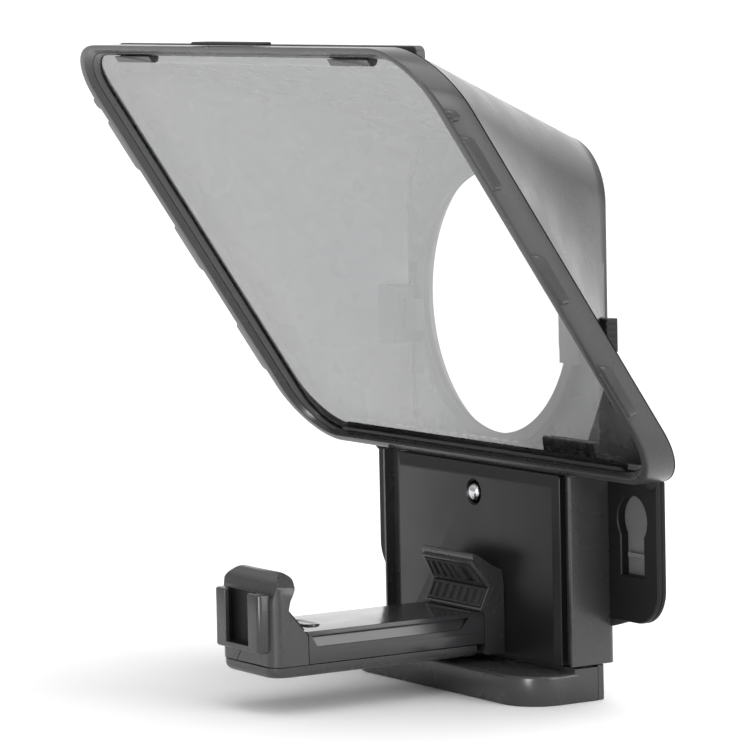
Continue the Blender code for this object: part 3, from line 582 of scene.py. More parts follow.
def build_hood(material):
    side_steps = 32
    lengths = 24

    def blend_ring(share, inset, front_depth, rear_y, rear_inset=0.0):
        first = slope_ring(band_outline(inset, side_steps), front_depth)
        second = [(x, rear_y, z) for x, z in rear_outline(inset + rear_inset, side_steps)]
        return [Vector(a).lerp(Vector(b), share) for a, b in zip(first, second)]

    edge = 1.6 * MM
    rings = [blend_ring(step / lengths, 0.0, HOOD_START, REAR_Y - edge) for step in range(lengths + 1)]
    for step in range(1, 6):
        angle = math.radians(18.0 * step)
        rings.append(blend_ring(1.0, 0.0, HOOD_START, REAR_Y - edge * (1.0 - math.sin(angle)),
                                edge * (1.0 - math.cos(angle)) * 0.8))
    wall_front = WALL_LOW.y - 0.1 * MM
    ledge_front = wall_front - 1.1 * MM
    ledge = HOOD_WALL + 1.5 * MM
    rings += [blend_ring(1.0, HOOD_WALL, HOOD_START, y) for y in (REAR_Y, wall_front)]
    rings += [blend_ring(1.0, ledge, HOOD_START, y) for y in (wall_front, ledge_front)]
    for step in range(lengths + 1):
        rings.append(blend_ring(1.0 - step / lengths, HOOD_WALL, HOOD_START, ledge_front))
    hood = add_loft("hood_cowl", rings, looped=True)
    latch_low, latch_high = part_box("ring_latch_right")
    room = 0.15 * MM
    slider_back = RING_LOW.y - GAP
    slider_front = slider_back - LATCH_THICKNESS
    slot_start, thumb_start, slot_end = 58.0 * MM, latch_high.x - 4.0 * MM, 79.0 * MM
    for side in (-1, 1):
        for start, y_high in ((slot_start, slider_back), (thumb_start, latch_high.y)):
            edges = sorted((side * start, side * slot_end))
            cut(hood, add_box("slot", (edges[0], slider_front - room, latch_low.z - room),
                              (edges[1], y_high + room, latch_high.z + room)))
    settle(hood, "base", "shell", material, "hood_shell", sharp=30.0)

    flange_half = 95.8 * MM
    flange_low = 214.0 * MM
    flange_back = FOOT_Y + HOOD_START - SLOPE * math.cos(TILT) + 6.8 * MM
    outline = rounded(rectangle(-flange_half, flange_half, flange_low, HOOD_HIGH.z),
                      mm(0.5, 0.5, 2.6, 2.6))
    flange = add_prism("hood_top_flange", outline, "y", flange_back - 3.4 * MM, flange_back)
    round_edges(flange, 0.6 * MM)
    settle(flange, "base", "shell", material)


def build_rear_wall(material):
    outline = rear_outline(HOOD_WALL + GAP)
    front = WALL_LOW.y
    wall = add_prism("rear_wall_plate", outline, "y", front, REAR_Y)
    hole = RING_OUTER - 1.1 * MM
    collar = add_turned("collar", "y", (0.0, LENS_Z), [
        (hole + 3.0 * MM, front + 0.5 * MM), (hole + 3.0 * MM, REAR_Y + 0.5 * MM),
        (hole + 2.6 * MM, REAR_Y + 0.9 * MM), (hole - 0.5 * MM, REAR_Y + 0.9 * MM),
        (hole - 0.5 * MM, front + 0.5 * MM)], 96)
    fuse(wall, collar)
    cut(wall, add_prism("hole", circle((0.0, LENS_Z), hole, 96), "y", front - 0.01, REAR_Y + 0.01))
    for name in REAR_SCREWS:
        low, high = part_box(name)
        middle = (low + high) / 2.0
        cut(wall, add_prism("well", circle((middle.x, middle.z), 3.6 * MM, 40), "y",
                            REAR_Y - 0.6 * MM, REAR_Y + 0.01))
    clean(wall)
    round_edges(wall, 0.3 * MM, 2)
    settle(wall, "base", "shell", material, "rear_wall")


def build_lens_ring(material):
    """Ring with a rounded front lip and an adapter thread in its bore."""
    front, back = RING_LOW.y, RING_HIGH.y
    profile = rounded([(LENS_RADIUS, front), (RING_OUTER, front), (RING_OUTER, back),
                       (LENS_RADIUS + 0.9 * MM, back)], mm(0.3, 0.6, 0.3, 0.2), 4)
    pitch = 0.6 * MM
    for turn in range(4):
        start = back - 0.3 * MM - turn * pitch
        profile.append((LENS_RADIUS + 0.75 * MM, start - pitch * 0.10))
        profile.append((LENS_RADIUS + 0.25 * MM, start - pitch * 0.50))
        profile.append((LENS_RADIUS + 0.75 * MM, start - pitch * 0.90))
    profile.append((LENS_RADIUS, back - 0.3 * MM - 4.4 * pitch))
    ring = add_turned("lens_ring_threaded", "y", (0.0, LENS_Z), profile, 128)
    settle(ring, "base", "inner", material, "lens_ring", sharp=30.0)


def build_latches(material):
    """Sliding latches with a ribbed thumb pad."""
    for side, label in ((-1, "left"), (1, "right")):
        low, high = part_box(f"ring_latch_{label}")
        tip, end = sorted((abs(low.x), abs(high.x)))
        back = RING_LOW.y - GAP
        front = back - LATCH_THICKNESS
        thumb = end - 3.7 * MM
        outline = rounded([(tip, front + 0.9 * MM), (tip + 0.9 * MM, front), (end, front), (end, high.y),
                           (thumb, high.y), (thumb, back), (tip, back)],
                          mm(0.3, 0.4, 0.5, 0.9, 0.6, 0.2, 0.3), 4)
        latch = add_prism(f"latch_slider_{label}", [(side * x, y) for x, y in outline], "z", low.z, high.z)
        catch_low, catch_high = sorted((side * 51.9 * MM, side * 53.2 * MM))
        middle = (low.z + high.z) / 2.0
        fuse(latch, add_box("catch", (catch_low, low.y, middle - 2.1 * MM),
                            (catch_high, front + 0.5 * MM, middle + 2.1 * MM)))
        ribs = []
        for index in range(5):
            z = middle + (index - 2) * 2.0 * MM
            edges = sorted((side * (end - 0.35 * MM), side * (end + 1.0 * MM)))
            ribs.append(((edges[0], front - 1.0 * MM, z - 0.45 * MM), (edges[1], high.y + MM, z + 0.45 * MM)))
        cut(latch, add_boxes("ribs", ribs))
        clean(latch)
        round_edges(latch, 0.15 * MM, 2)
        settle(latch, f"latch_{label}", "inner", material, f"ring_latch_{label}")


def build_gasket_teeth(material):
    """Row of small blocks on the gasket's lower side, behind the glass."""
    front = LIP_DEPTH + GAP + GLASS_DEPTH + GAP
    pitch, half = 6.6 * MM, 1.7 * MM
    count = 25
    teeth = None
    for index in range(count):
        x = (index - (count - 1) / 2.0) * pitch
        outline = rounded(rectangle(x - half, x + half, 7.5 * MM, 10.0 * MM), 0.4 * MM, 3)
        block = add_loft("tooth", [slope_ring(outline, depth) for depth in (front, front + 2.0 * MM)])
        teeth = block if teeth is None else join(teeth, block)
    teeth.name = "gasket_teeth"
    settle(teeth, "base", "inner", material)


# Base
def keyhole_outline(side, grow):
    outline = arc((side * KEYHOLE_X, KEYHOLE_Z), KEYHOLE_RADIUS + grow, -38, 218, 40)
    for across in (-1, 1):
        outline.append((side * KEYHOLE_X + across * (KEYHOLE_SLOT_HALF + grow), KEYHOLE_SLOT_BOTTOM - grow))
    return outline


def wing(side):
    """Wing with rounded edges, a fine groove round its rim and a chamfered keyhole."""
    inner = POST_HALF - 3.5 * MM
    thickness = POST_HIGH.y - WING_FRONT_Y
    rings = []
    for share, inset in ((0.0, 0.35), (0.06, 0.10), (0.14, 0.0), (0.44, 0.0), (0.49, 0.30), (0.56, 0.30),
                         (0.61, 0.0), (0.86, 0.0), (0.94, 0.10), (1.0, 0.35)):
        edge = inset * MM
        outline = rounded([(inner, WING_BOTTOM + edge), (POST_HIGH.x - edge, WING_BOTTOM + edge),
                           (POST_HIGH.x - edge, POST_HIGH.z - edge), (inner, POST_HIGH.z - edge)],
                          [0.0, WING_CORNER - edge, MM, 0.0], 16)
        y = WING_FRONT_Y + thickness * share
        rings.append([(side * x, y, z) for x, z in outline])
    plate = add_loft("wing", rings)
    chamfer = 0.4 * MM
    cutter = add_loft("keyhole", [[(x, y, z) for x, z in keyhole_outline(side, grow)] for y, grow in (
        (WING_FRONT_Y - chamfer, 2.0 * chamfer), (WING_FRONT_Y + chamfer, 0.0), (POST_HIGH.y + MM, 0.0))])
    return cut(plate, cutter)


def build_post(material, shade):
    """Post, wings with keyholes, webs below them and a dome above each wing's outer edge."""
    half = POST_HALF
    plan = rounded([(-half, POST_LOW.y), (half, POST_LOW.y), (half, POST_BACK_Y), (-half, POST_BACK_Y)],
                   mm(0.5, 0.5, 3.0, 3.0), 10)
    post = add_prism("post_body", plan, "z", POST_LOW.z, POST_HIGH.z)
    lug_radius, lug_bottom = 3.4 * MM, 72.1 * MM
    drop = POST_HIGH.z - lug_bottom
    dome = [(0.0, lug_bottom)]
    for step in range(1, 9):
        angle = math.radians(90.0 * step / 8.0)
        dome.append((lug_radius * math.sin(angle), POST_HIGH.z - drop * math.cos(angle)))
    dome.append((0.0, POST_HIGH.z))
    for side in (-1, 1):
        fuse(post, wing(side))
        web = [(side * (half - 2.0 * MM), WING_BOTTOM + MM), (side * 70.5 * MM, WING_BOTTOM + 0.8 * MM),
               (side * (half + 0.6 * MM), 25.0 * MM), (side * (half - 2.0 * MM), 24.6 * MM)]
        fuse(post, add_prism("web", web, "y", WING_FRONT_Y + 0.8 * MM, POST_BACK_Y - 0.2 * MM))
        fuse(post, add_turned("lug", "z", (side * 81.8 * MM, 15.7 * MM), dome, 32))
    recess = half - POST_RIM
    cut(post, add_box("recess", (-recess, -5.0 * MM, POST_LOW.z - MM),
                      (recess, PLATE_HIGH.y + GAP, POST_HIGH.z + MM)))
    cut(post, add_prism("bore", circle((0.0, PIN_Z), 4.8 * MM), "y", -MM, 13.8 * MM))
    clean(post)
    round_edges(post, 0.2 * MM, 2, angle=50.0)
    settle(post, "base", "shell", material, "base_post", sharp=34.0)
    # Wing faces that do not face +Y take the near-black second material: painted shade from the hood above
    # and the recess.
    post.data.materials.append(shade)
    for face in post.data.polygons:
        on_wing = abs(face.center.x) > half + 0.1 * MM and face.center.z > WING_BOTTOM + 0.2 * MM
        if on_wing and face.normal.y < 0.5:
            face.material_index = 1


def build_front_plate(material):
    """Plate with a sloping border and a countersunk bore for the pin."""
    bevel, half = 3.0 * MM, 50.0 * MM
    low, high = PLATE_LOW, PLATE_HIGH
    rings = []
    for y, side, top in ((high.y / MM, 0.0, 0.0), (1.3, 0.0, 0.0), (1.1, 0.06, 0.08), (1.0, 0.16, 0.2),
                         (0.12, 0.92, 0.94), (0.0, 1.06, 1.06)):
        outline = rounded(rectangle(side * bevel - half, half - side * bevel, low.z,
                                    high.z - top * bevel * 1.3), mm(0.2, 0.2, 0.9, 0.9))
        rings.append([(x, y * MM, z) for x, z in outline])
    plate = add_loft("front_plate_panel", rings)
    cutter = add_turned("bore", "y", (0.0, PIN_Z), [(0.0, -MM), (5.6 * MM, -MM), (4.0 * MM, 0.6 * MM),
                                                    (4.0 * MM, 6.0 * MM), (0.0, 6.0 * MM)], 64)
    cut(plate, cutter)
    settle(plate, "base", "plate", material, "front_plate", sharp=16.0)


def build_lock_pin(material):
    """Polished pin with a domed head and a groove behind it."""
    radius = PIN_HIGH.x
    front, back = PIN_LOW.y, PIN_HIGH.y
    dome = 1.8 * MM
    profile = [(0.0, front)]
    for step in range(1, 9):
        angle = math.radians(90.0 * step / 8.0)
        profile.append((radius * math.sin(angle), front + dome * (1.0 - math.cos(angle))))
    profile += [(radius, 3.0 * MM), (radius - 0.3 * MM, 3.2 * MM), (radius - 0.3 * MM, 3.8 * MM),
                (radius, 4.0 * MM), (radius, back - 0.7 * MM), (radius * 0.5, back - 0.6 * MM),
                (radius * 0.5, back), (0.0, back)]
    pin = add_turned("lock_pin_domed", "y", (0.0, PIN_Z), profile, 48)
    settle(pin, "pin", "steel", material, "lock_pin", sharp=30.0)


def build_foot(material):
    """Foot with rounded front corners and edges, a raised step behind and bores from below."""
    half, corner = FOOT_HIGH.x, 14.0 * MM

    def outline(inset):
        radius = corner - inset
        front = FOOT_LOW.y + inset
        points = arc((radius + inset - half, front + radius), radius, 180, 270, 24)
        points += arc((half - radius - inset, front + radius), radius, 270, 360, 24)
        return points + [(half - inset, FOOT_HIGH.y), (inset - half, FOOT_HIGH.y)]

    rings = []
    for z, inset in ((0.0, 0.6), (0.18, 0.18), (0.6, 0.0), (9.0, 0.0), (9.46, 0.10), (9.85, 0.36),
                     (10.10, 0.74), (10.2, 1.2)):
        rings.append([(x, y, z * MM) for x, y in outline(inset * MM)])
    foot = add_loft("foot_base", rings)
    step = rounded(rectangle(-half, half, 2.2 * MM, FOOT_HIGH.y), mm(1.2, 1.2, 0.0, 0.0))
    fuse(foot, add_prism("step", step, "z", FOOT_TOP - 2.0 * MM, FOOT_STEP_TOP))
    fuse(foot, add_box("neck", (-48.0 * MM, 4.8 * MM, FOOT_TOP), (48.0 * MM, 10.2 * MM, FOOT_HIGH.z)))
    bore_radius, bore_top = BUSH_HIGH.x + GAP, BUSH_HIGH.z + GAP
    cut(foot, add_prism("bore", circle((0.0, BUSH_Y), bore_radius), "z", -MM, bore_top))
    for name in FOOT_SCREWS:
        low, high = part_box(name)
        middle = (low + high) / 2.0
        cut(foot, add_prism("well", circle((middle.x, middle.y), 3.2 * MM), "z", -MM, 2.2 * MM))
    clean(foot)
    round_edges(foot, 0.25 * MM, 3, angle=50.0)
    settle(foot, "base", "shell", material, "foot", sharp=34.0)


def build_bush(material):
    """Tripod bush with a threaded bore."""
    bore, outer = 3.2 * MM, BUSH_HIGH.x
    profile = rounded([(bore + 0.5 * MM, BUSH_LOW.z), (outer, BUSH_LOW.z), (outer, BUSH_HIGH.z),
                       (bore + 0.5 * MM, BUSH_HIGH.z)], 0.3 * MM, 3)
    pitch = 1.27 * MM
    for turn in range(5):
        start = BUSH_HIGH.z - 0.6 * MM - turn * pitch
        profile += [(bore + 0.5 * MM, start), (bore, start - pitch * 0.5)]
    bush = add_turned("tripod_bush_threaded", "z", (0.0, BUSH_Y), profile, 48)
    settle(bush, "base", "brass", material, "tripod_bush", sharp=30.0)


def build_screws(material):
    """Pan-head screws with a straight slot."""
    for name in REAR_SCREWS + FOOT_SCREWS:
        low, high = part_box(name)
        middle = (low + high) / 2.0
        behind = name in REAR_SCREWS
        radius = (high.x - low.x) / 2.0
        seat, crown = (low.y, high.y) if behind else (high.z, low.z)
        rise = crown - seat
        profile = [(0.0, seat), (radius * 0.9, seat), (radius, seat + rise * 0.15)]
        for step in range(1, 7):
            angle = math.radians(15.0 * step)
            profile.append((radius * (0.55 + 0.45 * math.cos(angle)),
                            seat + rise * (0.4 + 0.6 * math.sin(angle))))
        profile.append((0.0, crown))
        axis, centre = ("y", (middle.x, middle.z)) if behind else ("z", (middle.x, middle.y))
        screw = add_turned(name + "_pan", axis, centre, profile, 40)
        half, reach, depth = 0.4 * MM, radius + MM, rise * 0.42
        ends = sorted((crown - depth, crown + rise))
        corners = []
        for end, sign in zip(ends, (-1.0, 1.0)):
            across = middle.x + sign * half
            up = (middle.z if behind else middle.y) + sign * reach
            corners.append((across, end, up) if behind else (across, up, end))
        cut(screw, add_box("slot", *corners))
        settle(screw, "base", "steel", material, name, sharp=30.0)


SPRINGS = (     # piece, node, axis, turns, wire radius in mm, joint, fixed end, share left when squashed
    ("latch_spring_coil_left", "latch_spring_left", "X", 4, 0.13, "latch_left_slide", "low", 0.152),
    ("latch_spring_coil_right", "latch_spring_right", "X", 4, 0.13, "latch_right_slide", "high", 0.152),
    ("lock_pin_coil", "lock_pin_spring", "Y", 5, 0.22, "pin_press", "high", 0.615),
    ("button_coil", "button_spring", "Z", 3, 0.13, "button_press", "low", 0.44),
    ("clamp_coil", "clamp_spring", "Y", 16, 0.28, "clamp_slide", "low", 0.225))


def build_spring(name, node, axis, turns, wire, material, fixed):
    """Smooth round-wire coil in a CAD spring's place."""
    low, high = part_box(node)
    middle = (low + high) / 2.0
    along = "XYZ".index(axis)
    first, second = [index for index in range(3) if index != along]
    radius = (high[first] - low[first]) / 2.0 - wire
    start, end = low[along] + wire, high[along] - wire
    per_turn, sides = 28, 10
    rings = []
    for step in range(turns * per_turn + 1):
        share = step / (turns * per_turn)
        angle = 2.0 * math.pi * turns * share
        ring = []
        for corner in range(sides):
            turn = 2.0 * math.pi * corner / sides
            out = radius + wire * math.cos(turn)
            point = [0.0, 0.0, 0.0]
            point[along] = start + (end - start) * share + wire * math.sin(turn)
            point[first] = middle[first] + out * math.cos(angle)
            point[second] = middle[second] + out * math.sin(angle)
            ring.append(tuple(point))
        rings.append(ring)
    spring = add_loft(name, rings)
    settle(spring, "base", "steel", material, node, sharp=60.0)
    anchor = middle.copy()
    anchor[along] = low[along] if fixed == "low" else high[along]
    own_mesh(spring)


# Phone clamp
def slope_bar(name, start, end, outward, half_start, half_end, low, high):
    """Bar on a sloping face between two (y, z) points, from one height to another above it."""
    rings = []
    for place, half in ((start, half_start), (end, half_end)):
        ring = []
        for x, out in rectangle(-half, half, low, high):
            ring.append((x, place[0] + outward[0] * out, place[1] + outward[1] * out))
        rings.append(ring)
    return add_loft(name, rings)


def jaw_faces():
    """The rear jaw's two sloping faces: direction, outward normal, start, end and half widths."""
    upper = Vector((-6.6, 9.9)).normalized()
    lower = Vector((-3.7, -8.1)).normalized()
    return (("upper", upper, Vector((-upper.y, upper.x)), *mm(1.9, 10.3, 16.0, 13.8)),
            ("lower", lower, Vector((lower.y, -lower.x)), *mm(1.0, 7.6, 16.2, 16.2)))


def build_rear_jaw(material, soft):
    """Jaw with a V-shaped mouth; a thin rim stands round each ribbed pad."""
    top = JAW_HIGH.z
    side_view = rounded([(-GAP, JAW_LOW.z), (-8.3 * MM, JAW_LOW.z), (-8.3 * MM, 27.2 * MM), tuple(VALLEY),
                         (-11.2 * MM, 45.2 * MM), (-11.3 * MM, top - MM), (-10.4 * MM, top),
                         (-3.6 * MM, 42.5 * MM), (-GAP, 41.0 * MM)],
                        mm(0.3, 0.6, 0.3, 0.4, 0.3, 0.5, 0.9, 5.0, 0.5), 6)
    jaw = add_prism("rear_jaw_block", side_view, "x", -22.0 * MM, 22.0 * MM)
    rim = 1.3 * MM
    for label, way, outward, start, end, half_start, half_end in jaw_faces():
        first, last = VALLEY + way * (start - 1.1 * MM), VALLEY + way * (end + 1.1 * MM)
        fuse(jaw, slope_bar("rim", first, last, outward, half_start + rim, half_end + rim, -MM, rim))
    room = 0.35 * MM
    for label, way, outward, start, end, half_start, half_end in jaw_faces():
        first, last = VALLEY + way * (start - room), VALLEY + way * (end + room)
        cut(jaw, slope_bar("pocket", first, last, outward, half_start + room, half_end + room,
                           0.02 * MM, 3.0 * MM))
    half, shoulder = ARM_HALF, VALLEY.y + MM
    tip_half, tip = 15.2 * MM, top + 1.2 * MM
    front_view = rounded([(-half, 0.0), (half, 0.0), (half, shoulder), (tip_half, tip), (-tip_half, tip),
                          (-half, shoulder)], mm(0.0, 0.0, 9.0, 3.0, 3.0, 9.0), 10)
    combine(jaw, add_prism("keep", front_view, "y", -0.03, 0.01), "INTERSECT")
    clean(jaw)
    round_edges(jaw, 0.3 * MM, 3)
    settle(jaw, "base", "shell", material, "rear_jaw")
    for label, way, outward, start, end, half_start, half_end in jaw_faces():
        first, last = VALLEY + way * start, VALLEY + way * end
        pad = slope_bar(f"jaw_pad_{label}", first, last, outward, half_start, half_end, GAP, 1.5 * MM)
        border = 0.9 * MM
        inner_start, inner_end = VALLEY + way * (start + border), VALLEY + way * (end - border)
        cut(pad, slope_bar("field", inner_start, inner_end, outward, half_start - border, half_end - border,
                           0.7 * MM, 3.0 * MM))
        for index in range(PAD_RIBS):
            share = (index + 0.5) / PAD_RIBS * 2.0 - 1.0
            rings = []
            for place, half in ((inner_start, half_start), (inner_end, half_end)):
                centre, wide = share * (half - border), (half - border) / PAD_RIBS * 0.66
                rings.append([(centre + x, place[0] + outward[0] * out, place[1] + outward[1] * out)
                              for x, out in ((-wide, 0.5 * MM), (wide, 0.5 * MM), (wide * 0.7, 1.6 * MM),
                                             (-wide * 0.7, 1.6 * MM))])
            fuse(pad, add_loft("rib", rings))
        round_edges(pad, 0.1 * MM, 2)
        settle(pad, "base", "rubber", soft, f"rear_jaw_pad_{label}")


def button_outline(grow):
    """Oval outline of the release button, long across the arm."""
    radius = (BUTTON_HIGH.y - BUTTON_LOW.y) / 2.0 + grow
    reach = BUTTON_HIGH.x - radius + grow
    return arc((reach, BUTTON_Y), radius, -90, 90, 20) + arc((-reach, BUTTON_Y), radius, 90, 270, 20)


def build_arm(material):
    """Arm with chamfered upper edges and a mitred groove along each side."""
    half, low, high = ARM_HALF, ARM_LOW, ARM_HIGH
    profile = rounded([(-half, low.z), (half, low.z), (half, high.z - 1.1 * MM), (half - 1.4 * MM, high.z),
                       (1.4 * MM - half, high.z), (-half, high.z - 1.1 * MM)],
                      mm(0.3, 0.3, 0.25, 0.5, 0.5, 0.25), 5)
    arm = add_prism("clamp_arm", profile, "y", low.y, high.y)
    for side in (-1, 1):
        rings = []
        for values in ((-74.6, -18.2, 22.2, 0.9), (-77.0, -14.6, 26.1, 2.2)):
            start, end, height, depth = mm(*values)
            inner, outer = half - depth, half + MM
            rings.append([(side * x, y, height) for x, y in ((outer, end), (inner, end), (inner, start),
                                                             (outer, start))])
        cut(arm, add_loft("groove", rings))
        edges = sorted((side * (half - 0.3 * MM), side * (half + MM)))
        cut(arm, add_box("seam", (edges[0], low.y - MM, 20.5 * MM), (edges[1], high.y + MM, 20.75 * MM)))
    floor = 18.2 * MM
    cut(arm, add_box("cavity", (-12.0 * MM, -64.0 * MM, floor), (12.0 * MM, -12.0 * MM, 24.0 * MM)),
        add_box("mouth", (-8.0 * MM, -64.0 * MM, 15.0 * MM), (8.0 * MM, -12.0 * MM, 19.0 * MM)),
        add_box("spring_end", (-3.0 * MM, -72.2 * MM, floor), (3.0 * MM, -63.0 * MM, 22.0 * MM)),
        add_prism("button_well", button_outline(GAP), "z", 22.6 * MM, 30.0 * MM))
    clean(arm)
    round_edges(arm, 0.12 * MM, 2)
    settle(arm, "base", "shell", material, "arm_shell", sharp=30.0)


def build_button(material):
    """Oval button, dished on top."""
    low, high = BUTTON_LOW, BUTTON_HIGH
    rings = []
    for z, grow in ((low.z, 0.0), (high.z - 0.5 * MM, 0.0), (high.z - 0.15 * MM, -0.15), (high.z, -0.5),
                    (high.z - 0.15 * MM, -1.1), (high.z - 0.35 * MM, -2.0)):
        rings.append([(x, y, z) for x, y in button_outline(grow * MM)])
    button = add_loft("release_button_oval", rings)
    settle(button, "button", "rubber", material, "release_button", sharp=40.0)


def build_front_jaw(material):
    """Hook with a rounded crest that closes over the phone's edge, on soft upright corners."""
    base = HOOK_LOW.z
    front = -91.5
    side_view = rounded([
        (-78.2, base / MM), (-78.2, 26.2), (-85.6, 34.6), (-84.7, 38.3), (-82.6, 42.0), (-82.4, 45.6),
        (-85.2, 48.2), (-89.0, 44.6), (-90.6, 38.0), (front, 24.0), (front, base / MM)],
        [0.3, 1.5, 2.6, 4.0, 3.0, 1.8, 2.2, 4.5, 8.0, 4.0, 0.2], 10)
    jaw = add_prism("front_jaw_hook", [(y * MM, z * MM) for y, z in side_view], "x", -22.0 * MM, 22.0 * MM)
    half = HOOK_HIGH.x
    top = HOOK_HIGH.z + 0.6 * MM
    front_view = rounded([(-half, 0.01), (half, 0.01), (half, top), (-half, top)], mm(0.0, 0.0, 8.5, 8.5), 16)
    combine(jaw, add_prism("keep", front_view, "y", -0.11, -0.06), "INTERSECT")
    plan = rounded([(-half, front * MM), (half, front * MM), (half, -0.07), (-half, -0.07)],
                   [JAW_CORNER, JAW_CORNER, 0.0, 0.0], 14)
    combine(jaw, add_prism("keep", plan, "z", 0.0, 0.06), "INTERSECT")
    tab_seam = [(-7.3 * MM, base - MM), (-6.9 * MM, base - MM), (-3.2 * MM, base + 3.6 * MM),
                (-3.6 * MM, base + 3.6 * MM)]
    cut(jaw, add_prism("tab_seam", tab_seam, "y", -0.095, (front + 0.4) * MM))
    clean(jaw)
    round_edges(jaw, 0.35 * MM, 3, angle=42.0)
    settle(jaw, "clamp_jaw", "shell", material, "front_jaw", sharp=40.0)


def build_slider(material):
    """Rail under the arm: a rounded keel whose front end is rounded in plan as well."""
    low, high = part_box("slider_rail")
    half = high.x
    front, back = low.y, high.y
    top = HOOK_LOW.z - GAP

    def plan(inset):
        return rounded([(inset - half, front + inset), (half - inset, front + inset), (half - inset, back),
                        (inset - half, back)], [JAW_CORNER, JAW_CORNER, 0.0, 0.0], 14)

    rings = []
    drop = 2.4 * MM
    for step in range(7):
        angle = math.radians(15.0 * step)
        rise, inset = drop * (1.0 - math.sin(angle)), drop * (1.0 - math.cos(angle))
        rings.append([(x, y, low.z + rise) for x, y in plan(inset)])
    rings = rings[::-1] + [[(x, y, top) for x, y in plan(0.0)]]
    slider = add_loft("slider_keel", rings)
    fuse(slider, add_box("neck", (-7.7 * MM, -20.0 * MM, 15.0 * MM), (7.7 * MM, -12.4 * MM, 19.0 * MM)))
    fuse(slider, add_box("head", (-11.7 * MM, -20.0 * MM, 18.5 * MM), (11.7 * MM, -12.4 * MM, high.z)))
    clean(slider)
    round_edges(slider, 0.15 * MM, 2, angle=50.0)
    settle(slider, "clamp_jaw", "shell", material, "slider_rail", sharp=34.0)


def build_shoe(material, shade):
    """Accessory shoe: a channel open at the top, with rounded outer corners."""
    low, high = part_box("accessory_shoe")
    back = high.y - 1.2 * MM
    plan = rounded([(low.x, low.y), (high.x, low.y), (high.x, high.y), (low.x, high.y)],
                   mm(1.8, 1.8, 0.3, 0.3), 8)
    rings = []
    soft = ((0.0, 0.6), (0.25 * MM, 0.2), (0.7 * MM, 0.0))
    levels = [(low.z + rise, inset) for rise, inset in soft]
    levels += [(high.z - rise, inset) for rise, inset in soft[::-1]]
    for z, inset in levels:
        share = 1.0 - inset * MM / high.x
        middle = (low.y + high.y) / 2.0
        rings.append([(x * share, middle + (y - middle) * (1.0 - inset * 0.35), z) for x, y in plan])
    shoe = add_loft("accessory_shoe_channel", rings)
    floor, above = low.z + 2.0 * MM, high.z + 4.0 * MM
    cut(shoe, add_box("mouth", (-7.2 * MM, low.y - MM, floor), (7.2 * MM, back, above)),
        add_box("channel", (-9.3 * MM, low.y + 1.6 * MM, floor), (9.3 * MM, back, above)))
    clean(shoe)
    round_edges(shoe, 0.3 * MM, 3, angle=50.0)
    settle(shoe, "clamp_jaw", "plate", material, "accessory_shoe", sharp=40.0)
    # The channel's inner walls and floor take the near-black second material: painted shade inside the
    # channel.
    shoe.data.materials.append(shade)
    for face in shoe.data.polygons:
        middle = face.center
        if abs(middle.x) < 9.4 * MM and middle.z > floor - 0.1 * MM and middle.y > low.y + 1.5 * MM:
            face.material_index = 1 if middle.y < high.y - 0.1 * MM and middle.z < high.z - 0.5 * MM else 0


def dress(material, *nodes, width=0.25 * MM, segments=2):
    """A CAD node whose shape is right keeps it, with softened edges and its own material."""
    for name in nodes:
        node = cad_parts[name]
        node.data.materials.clear()
        node.data.materials.append(material)
        weld = node.modifiers.new("weld", "WELD")
        weld.merge_threshold = 0.01 * MM
        round_edges(node, width, segments)


# Camera, floor and light
def look(location, target):
    return (Vector(target) - Vector(location)).to_track_quat("-Z", "Y")


def add_camera():
    """A long lens from the right of the front, a little above the object."""
    azimuth, elevation, roll = math.radians(57.87), math.radians(5.4), math.radians(-1.2)
    target = Vector((-12.2 * MM, -31.13 * MM, 107.38 * MM))
    distance = 1.49291
    back = Vector((math.sin(azimuth) * math.cos(elevation),
                   -math.cos(azimuth) * math.cos(elevation), math.sin(elevation)))
    right = (-back).cross(Vector((0.0, 0.0, 1.0))).normalized()
    up = right.cross(-back)
    turned_right = right * math.cos(roll) + up * math.sin(roll)
    turned_up = up * math.cos(roll) - right * math.sin(roll)
    data = bpy.data.cameras.new("camera")
    data.sensor_width = 36.0
    data.lens = 211.08
    data.clip_start = 0.05
    data.clip_end = 200.0
    camera = bpy.data.objects.new("camera", data)
    turn = Matrix((turned_right, turned_up, back)).transposed().to_4x4()
    camera.matrix_world = Matrix.Translation(target + back * distance) @ turn
    bpy.context.collection.objects.link(camera)
    bpy.context.scene.camera = camera


def add_area(name, location, target, size, power):
    data = bpy.data.lights.new(name, "AREA")
    data.shape = "RECTANGLE"
    data.size, data.size_y = size
    data.energy = power
    lamp = bpy.data.objects.new(name, data)
    lamp.location = location
    lamp.rotation_mode = "QUATERNION"
    lamp.rotation_quaternion = look(location, target)
    bpy.context.collection.objects.link(lamp)
    return lamp


def add_floor():
    reach = 60.0
    corners = [(x, y, 0.0) for x, y in rectangle(-reach, reach, -reach, reach)]
    floor = add_mesh("floor", corners, [(0, 1, 2, 3)])
    material, tree, shader = start_material("pale_floor")
    tone = noise_range(tree, 2.0, 3.0, 0.0, 1.0)
    tree.links.new(add_mix(tree, tone, (0.90, 0.90, 0.90), (0.92, 0.92, 0.92)),
                   shader.inputs["Base Color"])
    shader.inputs["Roughness"].default_value = 0.9
    shader.inputs["Specular IOR Level"].default_value = 0.0
    floor.data.materials.append(material)


